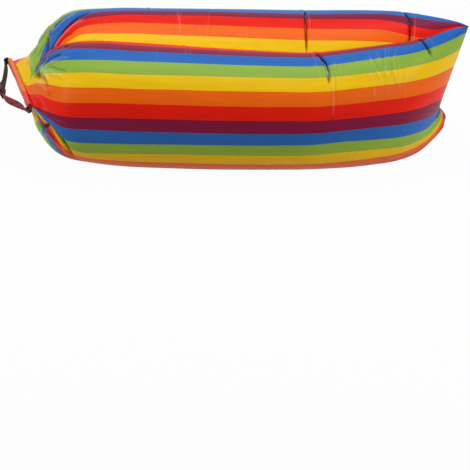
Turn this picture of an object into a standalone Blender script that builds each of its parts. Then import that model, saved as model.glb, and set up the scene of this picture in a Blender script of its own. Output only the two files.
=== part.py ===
"""Inflatable air lounger.

Two long fabric tubes lie side by side and lean on each other along the middle plane, which leaves
a valley to lie in between their crests. At the head end both tubes bend in and up to a pointed prow.
At the foot end they narrow to one flat mouth, which is rolled up round two stiffening strips. A
webbing loop with a side-release buckle runs from one end of the roll to the other.

X runs along the lounger with the prow at +X, +Y is the far tube, and Z is up from the floor. The
origin is under the middle of the whole lounger, loop included.
"""

import math

import bmesh
import bpy
from mathutils import Matrix, Vector

# Driving dimensions of the tubes, in metres.
BODY_LENGTH = 1.834  # from the axis of the rolled mouth to the tip of the prow
TUBE_DIAMETER = 0.50
PROW_HEIGHT = 0.545
NECK_LENGTH = 0.29  # over which a tube opens from the flat mouth to its full height
CREASE_DEPTH = 0.014  # how far a fold across a tube sinks into it
FLOOR_SINK = 0.0075  # how far the floor flattens a tube
POUCH_BULGE = 0.044  # how far the underside swells past the foot of the prow's seam
COVER_WALL = 0.0015
PROW_HALF_THICKNESS = 0.010  # of one tube where its end is sewn shut
LINER_SLACK = 0.0010  # between a cover and the air bladder inside it
LINER_WALL = 0.0010
SEAM_THICKNESS = 0.0010
SEAM_DEPTH = 0.030  # how far a joining tape reaches in between the tubes
SEAM_LIP = 0.004  # how far a joining tape stands out from between them
FIT_GAP = 0.0003  # between pieces that touch

# Driving dimensions of the rolled mouth.
ROLL_LENGTH = 0.472
ROLL_SKEW = math.radians(6.2)  # the roll isn't quite square to the tubes
ROLL_TURNS = 3
LAYER_THICKNESS = 0.0014
LAYER_GAP = 0.0005
STIFFENER_WIDTH = 0.018
STIFFENER_THICKNESS = 0.0012
MOUTH_HALF_THICKNESS = 0.006

# Driving dimensions of the carry loop and its buckle.
WEBBING_WIDTH = 0.030
WEBBING_THICKNESS = 0.0018
LOOP_REACH = 0.088  # from the roll's axis to the corner of the loop
LOOP_DROOP = math.radians(30)  # how far the loop hangs below level at rest
TAB_LENGTH = 0.050
TAB_STICKS_OUT = 0.007
TURN_RADIUS = 0.010  # of the strap where it doubles back past the end of the roll
NEAR_STRAP_TWIST = math.radians(40)
FOLD_TAIL = 0.022  # length of webbing folded back and sewn down behind a bar
STITCH_LENGTH = 0.008
STITCH_THICKNESS = 0.0005
BUCKLE_WALL = 0.0050
BUCKLE_THICKNESS = 0.0125
SOCKET_LENGTH = 0.043
WEB_BAR = 0.0045
WEB_SLOT = 0.0060
PLUG_SHOULDER = 0.009
TONGUE_WIDTH = 0.006
TONGUE_LENGTH = 0.014
SOCKET_SKIN = 0.0025
SIDE_CLEARANCE = 0.0010
PRONG_WIDTH = 0.0036
PRONG_LENGTH = 0.034
PRONG_SPACING = 0.023  # between the middles of the two prongs' arms
PRONG_PAD_LENGTH = 0.012
PRONG_PAD_RECESS = 0.0010  # how far a pad lies below the socket's side
PRONG_ROOT_GAP = 0.0008  # lets a prong tip at its root

# Shapes as shares of the sizes above, chosen by hand.
ROLL_HEIGHT_SHARE = 0.52
MOUTH_SPREAD_SHARE = 0.5
# Each row is one section of a tube: how far along its crest and its underside lie, as shares of the
# body's length, the heights of both as shares of the tube's diameter, the distance of its axis from
# the middle plane and its half width as shares of the tube's radius, and how deep its crease is.
MAIN_SECTION_SHARES = (
    (0.181, 0.181, 1.010, 0.000, 0.672, 1.000, 0.0),
    (0.410, 0.410, 1.008, 0.000, 0.776, 0.996, 0.0),
    (0.625, 0.625, 0.982, 0.000, 0.852, 0.964, 0.0),
    (0.643, 0.642, 0.980, 0.000, 0.852, 0.960, 1.0),
    (0.662, 0.659, 0.978, 0.000, 0.848, 0.955, 0.0),
    (0.752, 0.736, 0.998, 0.002, 0.792, 0.890, 0.0),
    (0.818, 0.793, 1.024, 0.010, 0.720, 0.800, 0.0),
    (0.859, 0.829, 1.046, 0.018, 0.648, 0.716, 0.0),
    (0.875, 0.845, 1.052, 0.022, 0.596, 0.670, 1.0),
    (0.892, 0.862, 1.060, 0.028, 0.524, 0.604, 0.0),
    (0.932, 0.897, 1.072, 0.044, 0.340, 0.436, 0.0),
    (0.968, 0.919, 1.080, 0.072, 0.164, 0.258, 0.0),
)
END_SECTION_SHARES = (0.998, 0.926, 1.000, 0.118)  # crest and underside along, then their heights
NECK_STEP_SHARES = (0.0, 0.06, 0.17, 0.34, 0.56, 0.79)
NECK_FLAT_SHARE = 0.11  # how much of the neck stays as flat as the mouth
NECK_RISE_SHARES = (0.75, 0.8)  # the crest is up after the first, and rises as the power of the second
NECK_WIDTH_SHARES = (0.4, 0.6)  # how much of the width follows the rise of the crest and the fall below
PINCH_SHARE = 0.23  # height of the foot of the prow's seam, as a share of the end section
POUCH_START_SHARE = 0.25  # of the bulge, reached one section before the end
SECTION_POINTS = 28
TURN_STEPS = 6  # in which a half turn of webbing or fabric is drawn
PROW_STEPS = 16

ROLL_CORE_RADIUS = STIFFENER_THICKNESS + 2 * FIT_GAP
ROLL_PITCH = LAYER_THICKNESS + LAYER_GAP
ROLL_RADIUS = ROLL_CORE_RADIUS + ROLL_TURNS * ROLL_PITCH + LAYER_THICKNESS
ROLL_Z = ROLL_HEIGHT_SHARE * TUBE_DIAMETER
HALF_SEAM = SEAM_THICKNESS / 2 + FIT_GAP
TUBE_RADIUS = TUBE_DIAMETER / 2
BUCKLE_HALF_WIDTH = WEBBING_WIDTH / 2 + BUCKLE_WALL + SIDE_CLEARANCE
# The roll's place puts the middle of the whole length, from the buckle to the prow, at the origin.
LOOP_EDGE = (LOOP_REACH + WEBBING_THICKNESS) * math.cos(LOOP_DROOP)
BUCKLE_EDGE = LOOP_EDGE + BUCKLE_HALF_WIDTH * math.sin(LOOP_DROOP)
ROLL_X = (BUCKLE_EDGE - END_SECTION_SHARES[0] * BODY_LENGTH - SEAM_LIP) / 2
MOUTH_X = ROLL_X + (ROLL_RADIUS + FIT_GAP) / math.cos(ROLL_SKEW)
CAVITY_HALF_WIDTH = BUCKLE_HALF_WIDTH - BUCKLE_WALL
FOLD_RADIUS = WEB_BAR / math.sqrt(2) + WEBBING_THICKNESS / 2 + FIT_GAP


def material(name, colour, roughness):
    made = bpy.data.materials.new(name)
    made.use_nodes = True
    shader = made.node_tree.nodes["Principled BSDF"]
    shader.inputs["Base Color"].default_value = (*colour, 1.0)
    shader.inputs["Roughness"].default_value = roughness
    return made


def add_object(name, mesh, surface, parent=None):
    made = bpy.data.objects.new(name, mesh)
    bpy.context.collection.objects.link(made)
    mesh.materials.append(surface)
    made.parent = parent
    return made


def mesh_from(name, points, faces, smooth=False, wound=False):
    mesh = bpy.data.meshes.new(name)
    mesh.from_pydata([tuple(point) for point in points], [], faces)
    shape = bmesh.new()
    shape.from_mesh(mesh)
    if not wound:
        bmesh.ops.recalc_face_normals(shape, faces=shape.faces)
    elif shape.calc_volume(signed=True) < 0:
        bmesh.ops.reverse_faces(shape, faces=shape.faces)
    shape.to_mesh(mesh)
    shape.free()
    if smooth:
        mesh.shade_smooth()
        mesh.set_sharp_from_angle(angle=math.radians(40))
    return mesh


def extruded(outline, low, high, place):
    """Points and faces of a flat outline made solid from low to high; place turns (a, b, c) into a point."""
    count = len(outline)
    points = [place(a, b, level) for level in (low, high) for a, b in outline]
    faces = [tuple(range(count)), tuple(range(count, 2 * count))]
    for i in range(count):
        j = (i + 1) % count
        faces.append((i, j, count + j, count + i))
    return points, faces


def ribbon(path, sides, width, thickness):
    """Points and faces of a flat band along a path; sides holds the direction of its width at each point."""
    points = []
    last = len(path) - 1
    for i, (point, side) in enumerate(zip(path, sides)):
        along = (path[min(i + 1, last)] - path[max(i - 1, 0)]).normalized()
        side = (side - along * side.dot(along)).normalized()
        up = along.cross(side)
        for a, b in ((-1, -1), (1, -1), (1, 1), (-1, 1)):
            points.append(point + side * (a * width / 2) + up * (b * thickness / 2))
    faces = [(0, 1, 2, 3), (4 * last, 4 * last + 1, 4 * last + 2, 4 * last + 3)]
    for i in range(last):
        for k in range(4):
            m = (k + 1) % 4
            faces.append((4 * i + k, 4 * i + m, 4 * i + 4 + m, 4 * i + 4 + k))
    return points, faces


def bezier(start, first, second, end, count):
    """Points along a cubic curve."""
    made = []
    for i in range(count + 1):
        t = i / count
        s = 1 - t
        made.append(start * s**3 + first * (3 * s * s * t) + second * (3 * s * t * t) + end * t**3)
    return made


# The two tubes.


def tube_sections():
    """A tube's sections from mouth to prow: crest x, underside x, top, bottom, axis, half width, crease."""
    spread = MOUTH_SPREAD_SHARE * ROLL_LENGTH / 2
    first = MAIN_SECTION_SHARES[0]
    full_axis = first[4] * TUBE_RADIUS
    full_width = first[5] * TUBE_RADIUS
    full_top = first[2] * TUBE_DIAMETER
    neck_start = ROLL_X + NECK_FLAT_SHARE * NECK_LENGTH
    with_rise, with_fall = NECK_WIDTH_SHARES
    risen, quickness = NECK_RISE_SHARES
    sections = [(MOUTH_X, MOUTH_X, ROLL_Z + MOUTH_HALF_THICKNESS, ROLL_Z - MOUTH_HALF_THICKNESS,
                 spread, spread - HALF_SEAM, 0.0)]
    for share in NECK_STEP_SHARES:
        x = neck_start + share * (ROLL_X + NECK_LENGTH - neck_start)
        rise = math.sin(math.pi / 2 * min(1.0, share / risen) ** quickness)
        fall = math.sqrt(1 - (1 - share) ** 2)
        top = ROLL_Z + MOUTH_HALF_THICKNESS + rise * (full_top - ROLL_Z - MOUTH_HALF_THICKNESS)
        bottom = (ROLL_Z - MOUTH_HALF_THICKNESS) * (1 - fall)
        axis = spread + rise * (full_axis - spread)
        width = spread + (with_rise * rise + with_fall * fall) * (full_width - spread)
        sections.append((x, x, top, bottom, axis, width, 0.0))
    for crest, under, top, bottom, axis, width, crease in MAIN_SECTION_SHARES:
        sections.append((ROLL_X + crest * BODY_LENGTH, ROLL_X + under * BODY_LENGTH, top * TUBE_DIAMETER,
                         bottom * TUBE_DIAMETER, axis * TUBE_RADIUS, width * TUBE_RADIUS, crease))
    return sections


def end_section():
    """The closed end of a tube: a thin upright section from the underside to the tip of the prow."""
    crest, under, top, bottom = END_SECTION_SHARES
    return (ROLL_X + crest * BODY_LENGTH, ROLL_X + under * BODY_LENGTH, top * PROW_HEIGHT,
            bottom * PROW_HEIGHT, HALF_SEAM, PROW_HALF_THICKNESS, 0.0)


def section_ring(section, depth, bulge=0.0):
    """A closed ring of points, depth inside the cover's outer face, from the crest down the outer side."""
    crest_x, under_x, top, bottom, axis, half_width, crease = section
    middle = (top + bottom) / 2
    half_height = (top - bottom) / 2
    if bottom < FLOOR_SINK:
        half_height = half_height + (FLOOR_SINK - bottom) / 2
        middle = middle - (FLOOR_SINK - bottom) / 2
    ring = []
    for i in range(SECTION_POINTS):
        angle = 2 * math.pi * i / SECTION_POINTS
        fold = crease * CREASE_DEPTH * max(0.0, math.cos(angle)) ** 2
        out = axis + (half_width - depth - fold) * math.sin(angle)
        height = middle + (half_height - depth - fold) * math.cos(angle)
        out = max(out, HALF_SEAM + depth)
        height = max(height, depth)
        share = (height - bottom) / (top - bottom)
        x = under_x + share * (crest_x - under_x)
        if share < PINCH_SHARE:
            x += bulge * math.sin(math.pi * max(share, 0.0) / PINCH_SHARE)
        ring.append((x, out, height))
    return ring


def skewed(x, y):
    """The mouth follows the skew of the roll, which fades out along the neck."""
    fade = min(1.0, max(0.0, 1 - (x - MOUTH_X) / NECK_LENGTH))
    return x - math.tan(ROLL_SKEW) * y * fade * fade


def tube_shell(name, side, sections, bulges, outer_depth, wall):
    """A closed bag open only at its mouth: an outer and an inner skin, joined round the mouth."""
    points = []
    skins = []
    for depth in (outer_depth, outer_depth + wall):
        rings = []
        for section, bulge in zip(sections, bulges):
            rings.append(section_ring(section, depth, bulge))
        rings[-1] = [(x - depth, out, height) for x, out, height in rings[-1]]
        first = len(points)
        for ring in rings:
            points += [(skewed(x, side * out), side * out, height) for x, out, height in ring]
        skins.append(first)
    count = SECTION_POINTS
    rows = len(sections) - 1
    faces = []
    for first in skins:
        skin = []
        for row in range(rows):
            for i in range(count):
                j = (i + 1) % count
                a = first + row * count
                skin.append((a + i, a + j, a + count + j, a + count + i))
        end = first + rows * count
        for i in range(1, count // 2 - 1):
            skin.append((end + i, end + i + 1, end + count - i - 1, end + count - i))
        skin.append((end, end + 1, end + count - 1))
        skin.append((end + count // 2 - 1, end + count // 2, end + count // 2 + 1))
        # Both skins are split along the same diagonals, or their walls would cross where faces twist.
        split = [(face[0], face[k], face[k + 1]) for face in skin for k in range(1, len(face) - 1)]
        faces += split if first == skins[0] else [face[::-1] for face in split]
    outer, inner = skins
    for i in range(count):
        j = (i + 1) % count
        faces.append((outer + j, outer + i, inner + i, inner + j))
    return mesh_from(name, points, faces, smooth=True, wound=True)


def middle_line(section, top):
    """Where a section leaves the middle plane, at the top or the bottom of the flat the tubes share."""
    crest_x, under_x, high, low, axis, half_width, _ = section
    reach = math.sqrt(max(0.0, 1 - (axis / half_width) ** 2)) if half_width > axis else 0.0
    middle = (high + low) / 2
    half = (high - low) / 2
    height = middle + (half if top else -half) * reach
    share = (height - low) / (high - low)
    return under_x + share * (crest_x - under_x), height


def seam_tape(name, side_of_flat, surface):
    """A flat tape between the tubes, along the top or the bottom of the flat that they share."""
    line = [middle_line(section, side_of_flat > 0) for section in tube_sections()[3:-1]]
    edge = [(x, height + side_of_flat * SEAM_LIP) for x, height in line]
    back = [(x, height - side_of_flat * SEAM_DEPTH) for x, height in reversed(line)]
    points, faces = extruded(edge + back, -SEAM_THICKNESS / 2, SEAM_THICKNESS / 2,
                             lambda x, z, y: (x, y, z))
    return add_object(name, mesh_from(name, points, faces), surface)


def prow_tape(surface):
    """The binding of the closed ends, upright along the prow and round the swollen underside."""
    crest_x, under_x, top, bottom, _, _, _ = end_section()
    front = []
    back = []
    for i in range(PROW_STEPS + 1):
        share = i / PROW_STEPS
        height = bottom + share * (top - bottom)
        x = under_x + share * (crest_x - under_x)
        if share < PINCH_SHARE:
            x += POUCH_BULGE * math.sin(math.pi * share / PINCH_SHARE)
        front.append((x + SEAM_LIP, height))
        back.append((x - SEAM_DEPTH / 2, height))
    points, faces = extruded(front + back[::-1], -SEAM_THICKNESS / 2, SEAM_THICKNESS / 2,
                             lambda x, z, y: (x, y, z))
    return add_object("prow_seam_tape", mesh_from("prow_seam_tape", points, faces), surface)


def build_tubes(striped, film, tape):
    sections = tube_sections() + [end_section()]
    bulges = [0.0] * (len(sections) - 2) + [POUCH_START_SHARE * POUCH_BULGE, POUCH_BULGE]
    depth = COVER_WALL + LINER_SLACK
    for name, side in (("near", -1), ("far", 1)):
        shell = tube_shell(f"cover_{name}", side, sections, bulges, 0.0, COVER_WALL)
        add_object(f"cover_{name}", shell, striped)
        shell = tube_shell(f"liner_{name}", side, sections[2:-2], bulges[2:-2], depth, LINER_WALL)
        add_object(f"liner_{name}", shell, film)
    seam_tape("valley_seam_tape", 1, tape)
    seam_tape("belly_seam_tape", -1, tape)
    prow_tape(tape)


# The rolled mouth.


def roll_section():
    """The section of the rolled hem: a flat spiral of ROLL_TURNS turns, as one closed outline."""
    straight = STIFFENER_WIDTH / 2 - ROLL_CORE_RADIUS
    steps = TURN_STEPS
    per_turn = 2 * (steps + 1)
    inner = []
    outer = []
    for i in range(ROLL_TURNS * per_turn + 1):
        place = i % per_turn
        end = 1 if place <= steps else -1
        angle = math.pi * (place if end > 0 else place - 1) / steps
        radius = ROLL_CORE_RADIUS + ROLL_PITCH * i / per_turn
        inner.append((radius * math.cos(angle), end * straight + radius * math.sin(angle)))
        wide = radius + LAYER_THICKNESS
        outer.append((wide * math.cos(angle), end * straight + wide * math.sin(angle)))
    return outer + inner[::-1]


def build_roll(fabric, plastic, webbing):
    closure = bpy.data.objects.new("closure_frame", None)
    bpy.context.collection.objects.link(closure)
    closure.matrix_world = Matrix.Translation((ROLL_X, 0, ROLL_Z)) @ Matrix.Rotation(ROLL_SKEW, 4, "Z")
    half = ROLL_LENGTH / 2
    points, faces = extruded(roll_section(), -half, half, lambda x, z, y: (x, y, z))
    add_object("closure_roll", mesh_from("closure_roll", points, faces), fabric, closure)

    strip_half = half - TAB_LENGTH - FIT_GAP + TAB_STICKS_OUT
    corner = STIFFENER_WIDTH / 2 - STIFFENER_THICKNESS
    for name, side in (("front", -1), ("back", 1)):
        near = side * FIT_GAP / 2
        far = near + side * STIFFENER_THICKNESS
        outline = [(near, -corner), (far, -corner), (far, corner), (near, corner)]
        points, faces = extruded(outline, -strip_half, strip_half, lambda x, z, y: (x, y, z))
        strip = mesh_from(f"mouth_stiffener_{name}", points, faces)
        add_object(f"mouth_stiffener_{name}", strip, plastic, closure)

    for name, side in (("near", -1), ("far", 1)):
        start = half - TAB_LENGTH + TAB_STICKS_OUT
        end = half + TAB_STICKS_OUT
        low, high = sorted((side * start, side * end))
        wide = STIFFENER_WIDTH / 2 - STIFFENER_THICKNESS
        thick = WEBBING_THICKNESS / 2
        outline = [(-thick, -wide), (thick, -wide), (thick, wide), (-thick, wide)]
        points, faces = extruded(outline, low, high, lambda x, z, y: (x, y, z))
        add_object(f"anchor_tab_{name}", mesh_from(f"anchor_tab_{name}", points, faces), webbing, closure)
    return closure


# The carry loop. In its frame -X reaches away from the roll, Y runs along it and Z is the webbing's width.


def loop_points():
    """Named places of the loop in its own frame, and the direction of the buckle from socket to plug."""
    out = ROLL_LENGTH / 2 + TAB_STICKS_OUT + FIT_GAP
    turn = out + WEBBING_THICKNESS
    corner = Vector((-LOOP_REACH, 0, 0))
    back = Vector((-2 * TURN_RADIUS, turn, 0))
    along = (corner - back).normalized()
    mouth = corner - along * (FIT_GAP + PLUG_SHOULDER + WEB_SLOT + WEB_BAR)
    return out, turn, back, along, mouth


def end_turn(side, out, turn):
    """From the roll's axis out past its end and back, on the near or the far side."""
    path = [Vector((0, side * out, 0))]
    for i in range(TURN_STEPS + 1):
        angle = math.pi * i / TURN_STEPS
        path.append(Vector((-TURN_RADIUS + TURN_RADIUS * math.cos(angle),
                            side * (turn + TURN_RADIUS * math.sin(angle)), 0)))
    return path


def bar_fold(bar, along, inward):
    """Over a web bar and back outside it, where the webbing is folded round the bar and sewn to itself."""
    radius = FOLD_RADIUS
    tail = radius - WEBBING_THICKNESS - FIT_GAP
    path = []
    for i in range(TURN_STEPS + 1):
        angle = math.pi * i / TURN_STEPS
        path.append(bar + inward * (radius * math.cos(angle)) + along * (radius * math.sin(angle)))
    path.append(bar - inward * radius - along * (WEB_BAR / 2))
    path.append(bar + inward * tail - along * (FOLD_TAIL / 2))
    path.append(bar + inward * tail - along * FOLD_TAIL)
    return path


def build_straps(loop, webbing, thread):
    out, turn, back, along, mouth = loop_points()
    inward = Vector((0, 0, 1)).cross(along)
    radius = FOLD_RADIUS
    up = Vector((0, 0, 1))

    socket_bar = mouth - along * (SOCKET_LENGTH + WEB_SLOT + WEB_BAR / 2)
    start = end_turn(1, out, turn)
    meets = socket_bar + inward * radius
    run = bezier(start[-1], start[-1] - Vector((0, TAB_LENGTH, 0)), meets - along * TAB_LENGTH, meets, 8)
    path = start + run[1:] + bar_fold(socket_bar, along, inward)[1:]
    points, faces = ribbon(path, [up] * len(path), WEBBING_WIDTH, WEBBING_THICKNESS)
    add_object("strap_far", mesh_from("strap_far", points, faces), webbing, loop)

    plug_bar = mouth + along * (FIT_GAP + PLUG_SHOULDER + WEB_SLOT + WEB_BAR / 2)
    start = end_turn(-1, out, turn)
    meets = plug_bar + inward * radius
    run = bezier(start[-1], start[-1] + Vector((0, TAB_LENGTH, 0)), meets + along * TAB_LENGTH, meets, 12)
    path = start + run[1:] + bar_fold(plug_bar, -along, inward)[1:]
    sides = [up] * len(path)
    for i in range(len(run)):
        twist = NEAR_STRAP_TWIST * math.sin(math.pi * i / (len(run) - 1)) ** 2
        sides[len(start) - 1 + i] = Vector((math.sin(twist), 0, math.cos(twist)))
    points, faces = ribbon(path, sides, WEBBING_WIDTH, WEBBING_THICKNESS)
    add_object("strap_near", mesh_from("strap_near", points, faces), webbing, loop)

    sewn = radius - WEBBING_THICKNESS * 3 / 2 - 2 * FIT_GAP - STITCH_THICKNESS / 2
    for name, bar, way in (("far", socket_bar, along), ("near", plug_bar, -along)):
        middle = bar - way * (FOLD_TAIL * 3 / 4) + inward * sewn
        half = STITCH_LENGTH / 2
        path = [middle - way * half, middle + way * half]
        points, faces = ribbon(path, [up, up], WEBBING_WIDTH - 2 * WEBBING_THICKNESS, STITCH_THICKNESS)
        add_object(f"bartack_{name}", mesh_from(f"bartack_{name}", points, faces), thread, loop)


# The side-release buckle. In its frame +X is the way the plug pulls out, Z is across and Y its thickness.


def rounded_outline(low_x, high_x, half_width, radius):
    """A rectangle with round corners in (x, z)."""
    outline = []
    corners = ((high_x, half_width, 0), (low_x, half_width, 1), (low_x, -half_width, 2),
               (high_x, -half_width, 3))
    for x, z, quarter in corners:
        centre_x = x - radius if x == high_x else x + radius
        centre_z = z - radius if z > 0 else z + radius
        for i in range(4):
            angle = math.pi / 2 * (quarter + i / 3)
            outline.append((centre_x + radius * math.cos(angle), centre_z + radius * math.sin(angle)))
    return outline


def plate(name, outline, half_thickness, surface, parent):
    points, faces = extruded(outline, -half_thickness, half_thickness, lambda x, z, y: (x, y, z))
    return add_object(name, mesh_from(name, points, faces), surface, parent)


def box_cutter(name, low, high, parent):
    """A box between two corners that is only used to cut."""
    outline = [(low[0], low[2]), (high[0], low[2]), (high[0], high[2]), (low[0], high[2])]
    points, faces = extruded(outline, low[1], high[1], lambda x, z, y: (x, y, z))
    cutter = bpy.data.objects.new(name, mesh_from(name, points, faces))
    bpy.context.collection.objects.link(cutter)
    cutter.parent = parent
    cutter.hide_render = True
    cutter.display_type = "WIRE"
    return cutter


def combine(target, other, operation):
    step = target.modifiers.new(other.name, "BOOLEAN")
    step.operation = operation
    step.object = other
    step.solver = "EXACT"


def build_socket(frame, plastic):
    corner = BUCKLE_WALL / 2
    back = -SOCKET_LENGTH - WEB_SLOT - WEB_BAR
    half = BUCKLE_THICKNESS / 2
    inside = half - SOCKET_SKIN
    run = BUCKLE_THICKNESS
    body = plate("buckle_socket", rounded_outline(-SOCKET_LENGTH, 0, BUCKLE_HALF_WIDTH, corner), half,
                 plastic, frame)
    web = rounded_outline(back, -SOCKET_LENGTH + corner * 2, BUCKLE_HALF_WIDTH - corner / 2, corner)
    rails = plate("socket_rails", web, WEB_BAR / 2, plastic, frame)
    rails.hide_render = True
    rails.display_type = "WIRE"
    combine(body, rails, "UNION")
    floor = -SOCKET_LENGTH + BUCKLE_WALL
    cavity = box_cutter("socket_cavity", (floor, -inside, -CAVITY_HALF_WIDTH),
                        (run, inside, CAVITY_HALF_WIDTH), frame)
    combine(body, cavity, "DIFFERENCE")
    pad_back = -PRONG_ROOT_GAP - PRONG_LENGTH - PRONG_PAD_RECESS
    pad_front = pad_back + PRONG_PAD_LENGTH + 2 * PRONG_PAD_RECESS + FIT_GAP
    windows = box_cutter("socket_windows", (pad_back, -inside, -2 * BUCKLE_HALF_WIDTH),
                         (pad_front, inside, 2 * BUCKLE_HALF_WIDTH), frame)
    combine(body, windows, "DIFFERENCE")
    slot = box_cutter("socket_slot", (back + WEB_BAR, -run, -CAVITY_HALF_WIDTH),
                      (back + WEB_BAR + WEB_SLOT, run, CAVITY_HALF_WIDTH), frame)
    combine(body, slot, "DIFFERENCE")


def build_plug(frame, plastic):
    corner = BUCKLE_WALL / 2
    half = BUCKLE_THICKNESS / 2
    end = FIT_GAP + PLUG_SHOULDER + WEB_SLOT + WEB_BAR
    shoulder = rounded_outline(FIT_GAP, FIT_GAP + PLUG_SHOULDER, BUCKLE_HALF_WIDTH, corner)
    body = plate("buckle_plug", shoulder, half, plastic, frame)
    web = rounded_outline(FIT_GAP + PLUG_SHOULDER - 2 * corner, end, BUCKLE_HALF_WIDTH - corner / 2, corner)
    tongue = [(-TONGUE_LENGTH, -TONGUE_WIDTH / 2), (PLUG_SHOULDER / 2, -TONGUE_WIDTH / 2),
              (PLUG_SHOULDER / 2, TONGUE_WIDTH / 2), (-TONGUE_LENGTH, TONGUE_WIDTH / 2)]
    for name, outline in (("plug_rails", web), ("plug_tongue", tongue)):
        more = plate(name, outline, WEB_BAR / 2, plastic, frame)
        more.hide_render = True
        more.display_type = "WIRE"
        combine(body, more, "UNION")
    slot = box_cutter("plug_slot", (end - WEB_BAR - WEB_SLOT, -BUCKLE_THICKNESS, -CAVITY_HALF_WIDTH),
                      (end - WEB_BAR, BUCKLE_THICKNESS, CAVITY_HALF_WIDTH), frame)
    combine(body, slot, "DIFFERENCE")


def build_prongs(frame, plastic):
    """The two springy arms of the plug, each on an empty at its root, with the pad that the fingers press."""
    thick = WEB_BAR / 2
    arm = PRONG_WIDTH / 2
    pad_out = BUCKLE_HALF_WIDTH - PRONG_PAD_RECESS - PRONG_SPACING / 2
    pad_front = -PRONG_LENGTH + PRONG_PAD_LENGTH
    for name, side in (("lower", -1), ("upper", 1)):
        root = bpy.data.objects.new(f"prong_root_{name}", None)
        bpy.context.collection.objects.link(root)
        root.parent = frame
        root.location = (-PRONG_ROOT_GAP + FIT_GAP, 0, side * PRONG_SPACING / 2)
        outline = [(0, -arm), (0, arm), (pad_front - PRONG_WIDTH / 4, arm), (pad_front, arm * 2)]
        outline += [(pad_front, pad_out), (-PRONG_LENGTH + PRONG_PAD_LENGTH / 3, pad_out)]
        outline += [(-PRONG_LENGTH, arm), (-PRONG_LENGTH, -arm)]
        outline = [(x, side * z) for x, z in outline]
        plate(f"buckle_prong_{name}", outline, thick, plastic, root)


def build_loop(closure, webbing, thread, plastic):
    loop = bpy.data.objects.new("loop_frame", None)
    bpy.context.collection.objects.link(loop)
    loop.parent = closure
    loop.rotation_euler = (0, -LOOP_DROOP, 0)
    build_straps(loop, webbing, thread)
    _, _, _, along, mouth = loop_points()
    frame = bpy.data.objects.new("buckle_frame", None)
    bpy.context.collection.objects.link(frame)
    frame.parent = loop
    frame.location = mouth
    frame.rotation_euler = (0, 0, math.atan2(along.y, along.x))
    build_socket(frame, plastic)
    build_plug(frame, plastic)
    build_prongs(frame, plastic)


def main():
    for old in list(bpy.data.objects):
        bpy.data.objects.remove(old)
    striped = material("striped_polyester", (0.78, 0.10, 0.05), 0.35)
    film = material("bladder_film", (0.80, 0.84, 0.88), 0.25)
    tape = material("seam_tape", (0.05, 0.12, 0.35), 0.6)
    hem = material("hem_fabric", (0.90, 0.30, 0.06), 0.4)
    plastic = material("strip_plastic", (0.75, 0.75, 0.72), 0.5)
    webbing = material("black_webbing", (0.02, 0.02, 0.022), 0.8)
    thread = material("stitch_thread", (0.25, 0.02, 0.03), 0.8)
    buckle = material("buckle_plastic", (0.015, 0.015, 0.017), 0.35)
    build_tubes(striped, film, tape)
    closure = build_roll(hem, plastic, webbing)
    build_loop(closure, webbing, thread, buckle)


main()
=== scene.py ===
import math
import random

import bmesh
import bpy
import numpy as np
from mathutils import Matrix, Vector


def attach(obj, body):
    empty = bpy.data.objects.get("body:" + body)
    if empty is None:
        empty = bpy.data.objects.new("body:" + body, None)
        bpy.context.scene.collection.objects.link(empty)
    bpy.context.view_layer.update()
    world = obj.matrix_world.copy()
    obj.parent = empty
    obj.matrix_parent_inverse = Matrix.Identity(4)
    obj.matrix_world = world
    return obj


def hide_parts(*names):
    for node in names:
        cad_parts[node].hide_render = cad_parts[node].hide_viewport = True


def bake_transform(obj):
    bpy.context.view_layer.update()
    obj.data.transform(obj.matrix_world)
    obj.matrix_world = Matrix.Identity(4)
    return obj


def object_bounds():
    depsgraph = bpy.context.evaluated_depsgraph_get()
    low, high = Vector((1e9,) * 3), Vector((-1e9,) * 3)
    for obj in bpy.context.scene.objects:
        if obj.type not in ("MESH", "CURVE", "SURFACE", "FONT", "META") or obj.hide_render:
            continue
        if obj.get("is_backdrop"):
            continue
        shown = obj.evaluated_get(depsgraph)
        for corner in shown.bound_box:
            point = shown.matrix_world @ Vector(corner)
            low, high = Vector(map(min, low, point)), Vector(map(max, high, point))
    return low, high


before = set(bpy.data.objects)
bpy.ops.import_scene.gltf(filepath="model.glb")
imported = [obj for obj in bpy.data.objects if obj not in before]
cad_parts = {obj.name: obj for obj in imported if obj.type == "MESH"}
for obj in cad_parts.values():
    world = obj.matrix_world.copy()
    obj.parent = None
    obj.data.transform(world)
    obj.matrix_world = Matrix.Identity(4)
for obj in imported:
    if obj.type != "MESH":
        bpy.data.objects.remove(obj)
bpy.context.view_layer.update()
bpy.ops.object.select_all(action="DESELECT")

# The camera stands a little to the left of the lounger's near side and looks down on it through a long
# lens, tipped by just under three degrees as the photograph is. It aims below the lounger, which leaves
# the lounger in the upper part of the frame.
roll_middle = Vector((-0.8730, 0.0, 0.26))
azimuth, elevation, tip = math.radians(-6.0), math.radians(24.0), math.radians(2.8)
forward = Vector((-math.sin(azimuth) * math.cos(elevation), math.cos(azimuth) * math.cos(elevation),
                  -math.sin(elevation)))
level = Vector((math.cos(azimuth), math.sin(azimuth), 0.0))
upward = level.cross(forward)
right = level * math.cos(tip) + upward * math.sin(tip)
up = upward * math.cos(tip) - level * math.sin(tip)
pixels_per_metre = 244.0
frame_side = 470
roll_across, roll_down = 20, 84  # where the roll's middle lies in the frame, in pixels
lens, sensor = 800.0, 36.0
distance = frame_side / pixels_per_metre * lens / sensor
aim = (roll_middle + right * ((frame_side / 2 - roll_across) / pixels_per_metre)
       + up * ((roll_down - frame_side / 2) / pixels_per_metre))
camera_data = bpy.data.cameras.new("camera")
camera_data.lens = lens
camera_data.sensor_width = sensor
camera_data.clip_end = 100.0
camera = bpy.data.objects.new("camera", camera_data)
bpy.context.scene.collection.objects.link(camera)
camera.matrix_world = Matrix.Translation(aim - forward * distance) @ Matrix(
    (right, up, -forward)).transposed().to_4x4()
bpy.context.scene.camera = camera

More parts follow.
